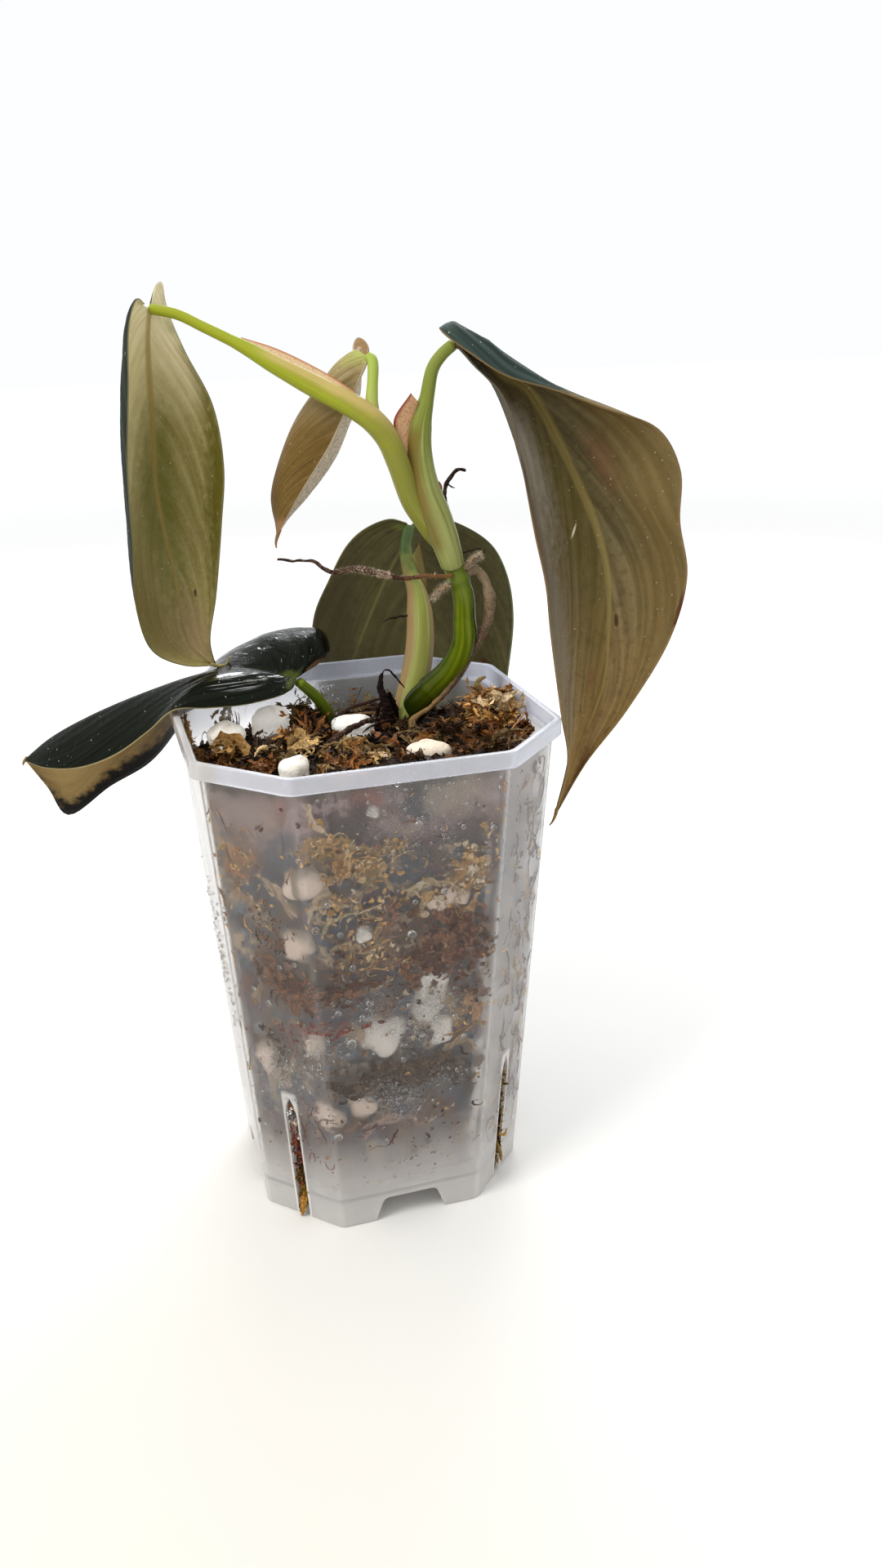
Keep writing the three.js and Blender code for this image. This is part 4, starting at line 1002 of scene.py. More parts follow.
# Fuzz covers them in places, given as stretches from, to and how many hairs
ROOTS = {
    "long": {
        "piece": "aerial_root_long", "node": "root_long", "slot": "root_brown",
        "radii": [0.6, 0.48, 0.45, 0.6, 0.65, 0.45, 0.34, 0.28],
        "path": [
            (25, 4, 148), (16.5, -0.5, 149.5), (11.5, -3.5, 150), (6.5, -5, 151.5), (-0.5, -6, 153.5),
            (-4.5, -5, 153), (-7, -4, 153.5), (-8.5, -2.5, 155), (-11, -1, 155.5), (-13.5, 1, 155),
            (-16, 1.5, 155.5),
        ],
        "colours": ("#7d5632", "#3c241a", "#2c1a14"), "fuzz": [(0.42, 0.7, 1700), (0.1, 0.9, 160)],
        "hair": 0.6, "hair_colour": "#dcc4ac",
    },
    "upright": {
        "piece": "aerial_root_upright", "node": "root_upright", "slot": "root_dark",
        "radii": [0.75, 0.65, 0.55, 0.48, 0.4],
        "path": [
            (28, 7.5, 148.5), (28.3, 11.5, 155), (27.4, 14, 160.5), (27, 15, 164), (27.3, 16, 166.4),
            (28.8, 16.5, 168.8), (30.4, 16, 170.6), (32.2, 15.5, 170.6),
        ],
        "colours": ("#2c1a16", "#2a1715", "#241312"), "fuzz": [(0.0, 0.1, 300), (0.3, 1.0, 90)],
        "hair": 0.9, "hair_colour": "#5a3c2c",
    },
    "hanging": {
        "piece": "aerial_root_hanging", "node": "root_hanging", "slot": "root_brown",
        "radii": [1.1, 1.25, 1.15, 0.95, 0.8, 0.7, 0.7],
        "path": [
            (29, 6, 148), (31.5, 6.5, 148.5), (33.5, 6, 146), (34.5, 5.5, 142.5), (34.5, 5.5, 138),
            (33, 6, 133), (31, 6.5, 129), (28, 7.5, 124.5), (25, 8.5, 119.5), (20.5, 9.5, 115),
            (16.5, 10.5, 112), (15.5, 9.5, 109.5),
        ],
        "colours": ("#8a775c", "#634e3c", "#8a6c42"), "fuzz": [(0.0, 0.12, 800), (0.12, 0.4, 420)],
        "scuff": 0.5, "hair": 0.4,
    },
    "dead": {
        "piece": "dried_dead", "node": "dead_stalk", "slot": "root_dark",
        "radii": [1.3, 1.6, 1.3, 0.9, 0.5],
        "path": [(10, 13.5, 107), (10.6, 12.5, 112), (9.4, 11.5, 117), (8.4, 11.3, 121), (8.9, 11.4, 124)],
        "colours": ("#0c0606", "#1a0c0a", "#140807"), "scuff": 0.03,
    },
    "surface": {
        "piece": "dried_surface", "node": "root_surface", "slot": "root_dark",
        "radii": [0.5, 0.75, 0.7, 0.5],
        "path": [
            (8, 15, 108), (6.5, 9, 113.5), (2, 3.5, 115), (-4.5, -0.5, 114), (-8.5, -2.5, 112.5),
            (-11, -4, 109.5),
        ],
        "colours": ("#1c0f0e", "#2e1814", "#3a2018"), "fuzz": [(0.2, 0.9, 60)],
    },
}


def root_material(name, colours, scuff):
    s = Shader(name)
    part = s.read("along")
    grain = s.noise(2.2, detail=5.0)
    wander = part + (s.noise(0.5) - 0.5) * 0.4
    colour = s.mix(s.band(wander, 0.15, 0.4), colours[0], colours[1])
    colour = s.mix(s.band(wander, 0.6, 0.85), colour, colours[2])
    colour = s.mix(s.band(grain, 0.5, 0.7) * scuff, colour, "#a98f70")
    colour = s.mix(s.band(s.cells(1.1), 0.2, 0.1) * 0.5, colour, "#3a2620")
    return s.done(base_color=colour, roughness=0.75, specular_ior_level=0.15, normal=s.bump(grain, 0.4, 0.8))


FUZZ = tinted_material("root_fuzz", 0.9)


def fuzz(pile, path, radii, stretches, seed, reach=1.0, colour="#c9b79a"):
    """Short soft hairs that stand out of a root along its stretches."""
    random = np.random.default_rng(seed)
    curve = Curve(path)
    for low, high, count in stretches:
        parts = np.sort(random.uniform(low, high, count))
        points, tangents, across, up = frames(curve, parts)
        turn = random.uniform(0, 2 * math.pi, count)[:, None]
        outward = across * np.cos(turn) + up * np.sin(turn)
        base = points + outward * along(radii, parts)[:, None] * 0.8
        lean = unit(outward + 0.9 * random.normal(size=(count, 3)))
        tips = base + lean * random.uniform(0.5, 1.5, count)[:, None] * reach
        width = unit(np.cross(lean, tangents + 0.01)) * 0.06
        triangles = np.stack([base - width, base + width, tips], axis=1).reshape(-1, 3)
        tone = linear(colour) * random.uniform(0.6, 1.15, (count, 1))
        pile.add(triangles, np.arange(3 * count).reshape(-1, 3), np.repeat(tone, 3, axis=0))


def root(name, root, seed):
    shift = np.random.default_rng(seed).uniform(0, 6, 4)

    def knobbly(part, turn):
        return (1 + 0.12 * np.sin(40 * part + shift[0]) * np.sin(turn + shift[1])
                + 0.08 * np.sin(90 * part + 2 * turn + shift[2]) + 0.1 * np.sin(17 * part + shift[3]))

    points, faces, numbers = tube(root["path"], root["radii"], 140, 12, knobbly)
    points = points + 0.25 * waves(points, 6, seed)[:, None] * unit(waves_vector(points, 8, seed))
    material = root_material(f"bark_{name}", root["colours"], root.get("scuff", 0.35))
    piece = mesh_object(root["piece"], points, faces, [material], numbers=numbers)
    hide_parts(root["node"])
    if "fuzz" in root:
        hairs = Pile()
        fuzz(hairs, root["path"], root["radii"], root["fuzz"], seed, root.get("hair", 1.0),
             root.get("hair_colour", "#c9b79a"))
        hairs.piece(f"fuzz_{name}", FUZZ, "root_brown", smooth_faces=False)


for seed, (root_name, description) in enumerate(ROOTS.items(), 20):
    root(root_name, description, seed)


# The pot

def wall_section(z, inward=0.0):
    """The half width and cut corner of the wall at a height, moved inward."""
    part = z / POT_HEIGHT
    half = BASE_HALF + (TOP_HALF - BASE_HALF) * part - inward
    return half, BASE_CORNER + (TOP_CORNER - BASE_CORNER) * part - inward * CORNER_SHIFT


def cut_square(half, corner, z, round_off=3.0, arc=5, flat=9):
    """A level ring round a square with cut corners, which are rounded."""
    short = half - corner
    corners = [(half, -short), (half, short), (short, half), (-short, half),
               (-half, short), (-half, -short), (-short, -half), (short, -half)]
    ring = []
    for i, (x, y) in enumerate(corners):
        away = round_off / math.cos(math.pi / 8)
        middle = (i - 0.5) * math.pi / 4
        x, y = x - away * math.cos(middle), y - away * math.sin(middle)
        for turn in np.linspace(i - 1, i, arc + 1) * math.pi / 4:
            ring.append((x + round_off * math.cos(turn), y + round_off * math.sin(turn)))
    ring = np.array(ring).reshape(8, arc + 1, 2)
    after = np.roll(ring, -1, axis=0)[:, 0]
    parts = np.linspace(0, 1, flat + 1)[1:-1, None]
    flats = ring[:, -1][:, None] * (1 - parts) + after[:, None] * parts
    outline = np.concatenate([ring, flats], axis=1).reshape(-1, 2)
    return np.column_stack([outline, np.full(len(outline), float(z))])


def on_wall(side, part, z, inward):
    """A point of the wall. Side 0 is +X, 6 the front, 7 the cut corner at its right, and part goes round."""
    side, part, z, inward = np.broadcast_arrays(side, np.asarray(part, float), z, inward)
    half, corner = wall_section(z, inward)
    short = half - corner
    xs = np.stack([half, half, short, -short, -half, -half, -short, short], axis=-1)
    ys = np.stack([-short, short, half, half, short, -short, -half, -half], axis=-1)

    def pick(values, index):
        return np.take_along_axis(values, index[..., None], axis=-1)[..., 0]

    following = (side + 1) % 8
    x = pick(xs, side) * (1 - part) + pick(xs, following) * part
    y = pick(ys, side) * (1 - part) + pick(ys, following) * part
    return np.stack([x, y, z], axis=-1)


def out_of_wall(side):
    """The level direction out of the pot through one side of its wall."""
    turn = side * math.pi / 4
    return np.array([math.cos(turn), math.sin(turn), 0])


def keep_inside(points, inward):
    """Points moved to the pot's middle where they come nearer to the outside of the wall than inward."""
    half, corner = wall_section(points[..., 2], inward)
    flat = np.abs(points[..., :2])
    over = np.maximum(flat.max(axis=-1) / half, flat.sum(axis=-1) / (2 * half - corner))
    points[..., :2] /= np.maximum(over, 1)[..., None]
    return points


def plate(outline, low, high, turn):
    """A prism over an outline in X and Z, from one distance to another along -Y, turned about Z."""
    outline = np.array(outline, float)
    count = len(outline)
    near = np.column_stack([outline[:, 0], np.full(count, -low), outline[:, 1]])
    far = near + (0, low - high, 0)
    at = np.arange(count)
    after = (at + 1) % count
    sides = np.stack([at, after, after + count, at + count], axis=1)
    spin = np.array([[math.cos(turn), math.sin(turn), 0], [-math.sin(turn), math.cos(turn), 0], [0, 0, 1]])
    mesh = bpy.data.meshes.new("cut")
    faces = [tuple(reversed(range(count))), tuple(range(count, 2 * count)), *map(tuple, sides)]
    mesh.from_pydata((np.vstack([near, far]) @ spin * METRE).tolist(), [], faces)
    return mesh


def rounded(corners, size):
    """An outline with each corner cut off in four steps."""
    outline = []
    count = len(corners)
    for i, corner in enumerate(corners):
        here = np.array(corner, float)
        before = here + unit(np.array(corners[i - 1]) - here) * size
        after = here + unit(np.array(corners[(i + 1) % count]) - here) * size
        for t in np.linspace(0, 1, 5):
            outline.append((1 - t) ** 2 * before + 2 * t * (1 - t) * here + t * t * after)
    return outline


def mirrored(right):
    """An outline whose right half is given from its foot up. It starts at the foot of the left half."""
    left = [(-x, z) for x, z in reversed(right) if x]
    return [left[-1], *right, *left[:-1]]


def pot_material(name, rough):
    """Frosted plastic that lets light through. Milk, from 0 to 1, whitens it, also at the slots' edges."""
    s = Shader(name)
    x, y, z = s.split()
    cloud = s.noise(0.12, detail=4.0)
    beads, small = s.band(s.cells(1.9), 0.4, 0.1), s.band(s.cells(4.0), 0.4, 0.1)
    wet = s.read("dew") * (beads * 0.6 + small * 0.4)
    slot_edge = s.band(abs(abs(x) - abs(y)), 3.3, 2.5) * s.band(z, 37.8, 36.3)
    milk = s.read("milk") + slot_edge * 0.5 + wet * 0.4
    clear = 1.0 - milk * s.between(cloud, 0.8, 1.1)
    tone = s.mix(s.band(z, 40, 112), "#e6e0d9", "#dfe5f8")
    # painted shade: the wall turns greyer at its far left side
    tone = s.mix(s.band(x, -35.5, -38.5), tone, "#cbc7c4")
    height = wet + s.noise(3.0, detail=2.0) * 0.05
    roughness = s.between(cloud, rough - 0.04, rough + 0.06)
    return s.done(base_color=s.mix(milk, "#f6f5f5", tone), roughness=roughness, ior=1.4,
                  specular_ior_level=0.2, transmission_weight=clear, normal=s.bump(height, 0.35, 0.6))


def wall_ring(z, inward):
    """A ring of the pot's wall, moved inward."""
    return cut_square(*wall_section(z, inward), z, 3.0 - 0.4 * inward)


def rim_ring(z, outward):
    """A ring of the rim, moved outward."""
    return cut_square(TOP_HALF + outward, TOP_CORNER + outward * CORNER_SHIFT, z, 3.4 + 0.4 * outward)


def well_ring(z, inward):
    """A ring of the well in the floor, which widens a little towards the floor."""
    spread = z / FLOOR_TOP - inward
    return cut_square(WELL_HALF + spread, WELL_CORNER - inward * CORNER_SHIFT, z, 2.0)


def pad_ring(z):
    """The smallest ring, round the middle of the pot."""
    return cut_square(2, 0.9, z, 0.3)


def pot_rings():
    """The rings of the pot's skin in three runs: its underside, outside and inside down to the floor."""
    under = [pad_ring(0), well_ring(0, 0.4), well_ring(0.4, 0), well_ring(FLOOR_HEIGHT, 0)]
    under += [wall_ring(z, WALL) for z in (FLOOR_HEIGHT, *np.linspace(FLOOR_HEIGHT - 0.5, 0.1, 8))]
    under += [wall_ring(0, WALL - 0.2), wall_ring(0, 0.25)]
    outside = [wall_ring(z, 0) for z in (0.25, 0.8, *np.linspace(2, BAND_FOOT - 0.8, 90), BAND_FOOT - 0.15)]
    outside.append(rim_ring(BAND_FOOT, RIM_OUT - 0.45))
    for z in (BAND_FOOT + 0.12, BAND_FOOT + 0.4, BAND_FOOT + 1.6, POT_HEIGHT - 0.9, POT_HEIGHT - 0.45):
        outside.append(rim_ring(z, RIM_OUT))
    outside += [rim_ring(POT_HEIGHT - 0.12, RIM_OUT - 0.15), rim_ring(POT_HEIGHT, RIM_OUT - 0.5)]
    lip = ((0, 0.35), (0.1, 0.08), (0.5, 0.0), (3.6, 0.0), (4.0, -0.1))
    inside = [rim_ring(POT_HEIGHT - down, outward) for down, outward in lip]
    inside.append(wall_ring(115.6, WALL - 0.05))
    inside += [wall_ring(z, WALL) for z in np.linspace(115.1, FLOOR_TOP + 0.4, 70)]
    inside += [wall_ring(FLOOR_TOP, WALL + 0.3), well_ring(FLOOR_TOP, WALL),
               well_ring(FLOOR_THICK + 0.3, WALL), well_ring(FLOOR_THICK, WALL + 0.3), pad_ring(FLOOR_THICK)]
    return under, outside, inside


def pot_skin():
    """The closed skin of the pot, with one material outside and another inside and underneath."""
    under, outside, inside = pot_rings()
    rings = under + outside + inside
    count = len(rings[0])
    faces = [grid_faces(len(rings) - 1, count, wrap=True), end_caps(len(rings), count)]
    row = np.repeat(np.arange(len(rings) - 1), count)
    is_outside = (row >= len(under) - 1) & (row < len(under) + len(outside))
    slots = np.concatenate([np.where(is_outside, 0, 1), np.ones(2 * count)])
    skins = [pot_material("frosted_outside", 0.14), pot_material("frosted_inside", 0.3)]
    points = np.vstack([*rings, (0, 0, 0), (0, 0, FLOOR_THICK)])
    return mesh_object("nursery_pot", points, faces, skins, slots=slots)


def cut_openings(piece):
    """Cuts a notch under each side and a slot in each cut corner."""
    notch = rounded(mirrored([(NOTCH_FOOT / 2 + 1.2, -3), (NOTCH_TOP / 2, NOTCH_HEIGHT)]), 1.3)
    slot = mirrored([(SLOT_WIDTH / 2, -3), (SLOT_WIDTH / 2, 31), (SLOT_WIDTH * 0.42, 32.5),
                     (SLOT_WIDTH * 0.25, 34.2), (0, SLOT_HEIGHT)])
    for turn in np.arange(4) * math.pi / 2:
        at_corner = turn + math.pi / 4
        for mesh in (plate(notch, BASE_HALF - 3, BASE_HALF + 3, turn), plate(slot, 27.5, 41, at_corner)):
            knife = bpy.data.objects.new("knife", mesh)
            bpy.context.scene.collection.objects.link(knife)
            cut = piece.modifiers.new("cut", "BOOLEAN")
            cut.operation, cut.solver, cut.object = "DIFFERENCE", "EXACT", knife
            done = bpy.data.meshes.new_from_object(piece.evaluated_get(bpy.context.evaluated_depsgraph_get()))
            piece.modifiers.clear()
            piece.data = done
            bpy.data.objects.remove(knife)


def milk_and_dew(x, y, z):
    """How white and how dewy the plastic is: white at its edges, its foot and behind the soil's damp top."""
    half, corner = wall_section(z, 0)
    at_corner = np.abs(np.maximum(np.abs(x), np.abs(y)) * (1 - 0.5 * corner / half) * 2
                       - (np.abs(x) + np.abs(y))) / half
    milk = 0.01 + 0.05 * smooth(0.05, 0.0, at_corner) + 0.4 * smooth(26, 3, z) + 0.4 * smooth(115.2, 116.2, z)
    milk += 0.05 * smooth(-1.5, -0.2, x - y - 2 * half + corner)
    milk += 0.3 * smooth(104, 113, z) * smooth(-20, 5, y)
    dew = np.zeros_like(z)
    for side, part, height, reach, strength in DEW:
        cx, cy, cz = on_wall(side, part, height, 0.0)
        away = np.sqrt((x - cx) ** 2 + (y - cy) ** 2 + (z - cz) ** 2) / reach
        dew = np.maximum(dew, strength * smooth(1.0, 0.35, away))
    return {"milk": milk, "dew": dew}


def pot():
    """The pot with its openings and marks. Only edges sharper than 35 degrees are shaded as edges."""
    piece = pot_skin()
    cut_openings(piece)
    mesh = piece.data
    points = np.empty(len(mesh.vertices) * 3, np.float32)
    mesh.vertices.foreach_get("co", points)
    set_numbers(mesh, milk_and_dew(*(points.reshape(-1, 3) / METRE).T))
    mesh.set_sharp_from_angle(angle=math.radians(35))
    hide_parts("pot")


# Patches of dew on the wall: side, part, height, reach, strength
DEW = [
    (6, 0.48, 34.7, 9, 1.0), (6, 0.34, 38, 6, 0.8), (6, 0.74, 38.5, 6, 0.8), (6, 0.57, 53.9, 9, 1.0),
    (6, 0.31, 61, 9, 0.7), (6, 0.66, 60, 8, 0.8), (6, 0.12, 53, 8, 0.5), (5, 0.89, 50.6, 8, 0.5),
    (6, 0.6, 108, 22, 0.45), (5, 0.5, 40, 14, 0.4), (2, 0.5, 112, 30, 0.5), (2, 0.3, 60, 26, 0.6),
    (0, 0.5, 50, 22, 0.6), (4, 0.5, 60, 24, 0.6), (3, 0.5, 80, 16, 0.6), (1, 0.5, 40, 14, 0.6),
]

pot()


# Small shapes, many at once

def shades(random, codes, count, low=0.7, high=1.25):
    """A colour for each of many shapes, one of those given, made darker or lighter."""
    base = np.array([linear(code) for code in codes])[random.integers(len(codes), size=count)]
    return base * random.uniform(low, high, (count, 1))


def torn_bits(pile, random, side, part, z, reach, size, count, colours, depth=(0.8, 1.05)):
    """Torn, bent bits in a cloud about one place of the wall. Where wet, they cling to it without air."""
    half, corner = wall_section(z)
    span = 2 * (half - corner) if side % 2 == 0 else corner * math.sqrt(2)
    steps = 7
    out, lift = random.normal(0, 0.5, (2, count))
    a = part * span + out * reach[0]
    b = z + (lift + random.uniform(-0.6, 0.6) * out) * reach[1]
    heading = random.uniform(0, 2 * math.pi, count)
    bend = random.normal(0, 0.4, count)
    length = size * random.uniform(0.8, 2.8, count) / steps
    width = size * (0.18 + 0.9 * random.uniform(0, 1, count) ** 2.5)
    rows = []
    for profile in np.sin(np.linspace(0.08, 0.95, steps) * math.pi) ** 0.5:
        for turn in (1, -1):
            away = turn * width * profile * random.uniform(0.3, 1.2, count)
            rows.append((a - away * np.sin(heading), b + away * np.cos(heading)))
        heading = heading + bend + random.normal(0, 0.35, count)
        a, b = a + length * np.cos(heading), b + length * np.sin(heading)
    a, b = np.array(rows).transpose(1, 2, 0)
    turns = np.floor(a / span).astype(int)
    depths = random.uniform(*depth, (count, 1))
    places = on_wall((side + turns) % 8, a / span - turns, np.clip(b, *WALL_REACH), depths)
    tones = np.repeat(shades(random, colours, count, 0.75, 1.2), steps * 2, axis=0)
    pile.add(places.reshape(-1, 3), repeated(grid_faces(steps - 1, 1), count), tones)


def strands(pile, random, paths, widths, colours, sides=3):
    """Thin threads along many paths at once, each thinner towards its ends."""
    count, steps = paths.shape[:2]
    tangents = unit(np.gradient(paths, axis=1))
    across = unit(np.cross(tangents, random.normal(size=(count, 1, 3))))
    up = np.cross(tangents, across)
    taper = np.sin(np.linspace(0.12, 0.95, steps) * math.pi) ** 0.6
    radius = widths[:, None] / 2 * taper * random.uniform(0.7, 1.3, (count, steps))
    turns = np.arange(sides) * 2 * math.pi / sides
    ring = across[:, :, None] * np.cos(turns)[:, None] + up[:, :, None] * np.sin(turns)[:, None]
    points = paths[:, :, None] + ring * radius[:, :, None, None]
    faces = repeated(grid_faces(steps - 1, sides, wrap=True), count)
    pile.add(points.reshape(-1, 3), faces, np.repeat(colours, steps * sides, axis=0))


def ribbons(pile, random, paths, widths, colours):
    """Flat bent strips with ragged edges along many paths at once."""
    count, steps = paths.shape[:2]
    tangents = unit(np.gradient(paths, axis=1))
    across = unit(np.cross(tangents, random.normal(size=(count, 1, 3))))
    taper = np.sin(np.linspace(0.1, 0.96, steps) * math.pi) ** 0.6 * widths[:, None] / 2
    reach = taper[..., None] * random.uniform(0.25, 1.3, (count, steps, 2)) * (1, -1)
    points = paths[:, :, None] + across[:, :, None] * reach[..., None]
    faces = repeated(grid_faces(steps - 1, 1), count)
    pile.add(points.reshape(-1, 3), faces, np.repeat(colours, steps * 2, axis=0))


def leaflets(pile, random, places, directions, sizes, colours):
    """Small folded leaves of two triangles."""
    sideways = unit(np.cross(directions, random.normal(size=directions.shape)))
    lift = np.cross(directions, sideways)
    size = sizes[:, None]
    points = np.stack([
        places, places + size * (directions * 0.45 + sideways * 0.2 + lift * 0.1), places + size * directions,
        places + size * (directions * 0.5 - sideways * 0.2 + lift * 0.07),
    ], axis=1).reshape(-1, 3)
    start = np.arange(len(places))[:, None] * 4
    pile.add(points, np.vstack([start + (0, 1, 2), start + (0, 2, 3)]), np.repeat(colours, 4, axis=0))


def ball(around, up):
    """A unit ball of points and faces."""
    rings = np.linspace(0, math.pi, up + 1)[1:-1]
    turns = np.arange(around) * 2 * math.pi / around
    grid = np.stack([np.outer(np.sin(rings), np.cos(turns)), np.outer(np.sin(rings), np.sin(turns)),
                     np.outer(-np.cos(rings), np.ones(around))], axis=-1).reshape(-1, 3)
    points = np.vstack([grid, (0, 0, -1), (0, 0, 1)])
    return points, [grid_faces(up - 2, around, wrap=True), end_caps(up - 1, around)]


# What is seen through the wall

# The lowest and highest place of what clings to the wall
WALL_REACH = (9, 113)
BROWN = ["#7c563e", "#674230", "#88614a", "#553628"]
RED = ["#843a26", "#8f4630", "#6e3028"]
OLIVE = ["#5e4b3a", "#4a392b", "#6c5846", "#544438"]
GOLD = ["#bd9155", "#cfa56a", "#a67a42", "#d8b884"]
TAN = ["#cdb898", "#b5a082", "#dccbb0"]
GREY = ["#8a8490", "#9a94a0"]

# Clouds of flakes: side, part, height, reach along and up, size of a flake, count, colours
FLAKES = [
    (5, 0.71, 67.5, (9, 5), 2.3, 50, BROWN), (5, 0.95, 66, (7, 2.5), 1.8, 30, BROWN),
    (6, 0.78, 77.7, (9, 6), 2.2, 50, BROWN), (6, 0.66, 72.5, (9, 5), 2.2, 50, BROWN),
    (6, 0.93, 73, (5, 4), 1.2, 20, BROWN), (6, 0.83, 64.1, (5, 4), 1.1, 18, BROWN),
    (6, 0.33, 74, (9, 5), 1.1, 40, BROWN + GOLD), (6, 0.45, 68.5, (9, 6), 0.8, 30, BROWN + OLIVE),
    (6, 0.13, 74, (3, 6), 0.8, 14, BROWN), (5, 0.6, 78.7, (5, 6), 0.9, 24, BROWN),
    (5, 0.43, 80, (6, 9), 0.8, 30, BROWN), (6, 0.53, 41, (13, 3), 2.6, 50, OLIVE),
    (6, 0.22, 42, (9, 3.5), 2.2, 20, OLIVE), (6, 0.57, 35.5, (4, 2.5), 0.9, 8, OLIVE),
    (5, 0.41, 49, (3, 7), 1.0, 24, OLIVE), (5, 0.97, 57, (7, 2.4), 0.9, 24, RED),
    (5, 0.6, 54, (5, 4), 0.8, 14, RED), (6, 0.12, 103, (6, 3), 1.1, 26, GOLD),
    (6, 0.27, 98, (9, 4), 1.1, 44, GOLD), (6, 0.44, 100, (5, 3), 0.9, 14, GOLD),
    (6, 0.87, 93, (6, 8), 1.1, 40, GOLD + TAN), (6, 0.7, 86.5, (8, 3.5), 1.2, 26, GOLD + TAN),
    (6, 0.2, 88, (9, 4), 1.0, 26, GOLD + TAN), (6, 0.4, 86.5, (8, 5), 0.9, 30, GOLD + BROWN),
    (5, 0.25, 96, (9, 9), 0.8, 40, GOLD), (6, 0.88, 55, (6, 5), 0.9, 20, GOLD),
    (6, 0.27, 77, (8, 7), 0.8, 26, GOLD + TAN),
    (6, 0.5, 15.5, (9, 6), 0.9, 18, ["#8a5c3a", "#a37248", "#6f4a30"]),
    (6, 0.75, 20, (8, 9), 0.7, 14, BROWN), (6, 0.86, 24, (4, 5), 0.6, 8, GOLD),
    (6, 0.86, 41, (4, 5), 0.6, 8, BROWN), (6, 0.54, 50.4, (4, 3), 0.9, 12, OLIVE + TAN),
    (5, 0.2, 25, (4, 14), 0.9, 14, BROWN + TAN), (5, 0.85, 28, (4, 12), 0.8, 16, BROWN + RED),
]

# Threads: side, part, how far they spread, lowest, highest, count, length, colours
THREADS = [
    (6, 0.3, 0.3, 92, 106, 12, 5, GOLD + TAN), (6, 0.6, 0.4, 60, 100, 20, 5, BROWN + GOLD),
    (6, 0.2, 0.2, 62, 92, 16, 5, TAN + GOLD), (5, 0.4, 0.4, 60, 105, 30, 6, GOLD + BROWN),
    (6, 0.5, 0.45, 12, 48, 26, 5, BROWN + RED), (7, 0.6, 0.32, 12, 112, 150, 9, BROWN + BROWN + GOLD),
    (6, 0.88, 0.1, 50, 60, 10, 7, GOLD), (5, 0.8, 0.2, 18, 34, 14, 8, RED),
    (0, 0.5, 0.5, 15, 110, 90, 9, BROWN + GOLD), (2, 0.5, 0.5, 15, 108, 90, 9, BROWN + GOLD),
    (4, 0.5, 0.5, 15, 110, 90, 9, BROWN + GOLD), (1, 0.5, 0.5, 15, 110, 50, 8, BROWN + TAN),
    (3, 0.5, 0.5, 15, 110, 50, 8, BROWN + TAN),
]

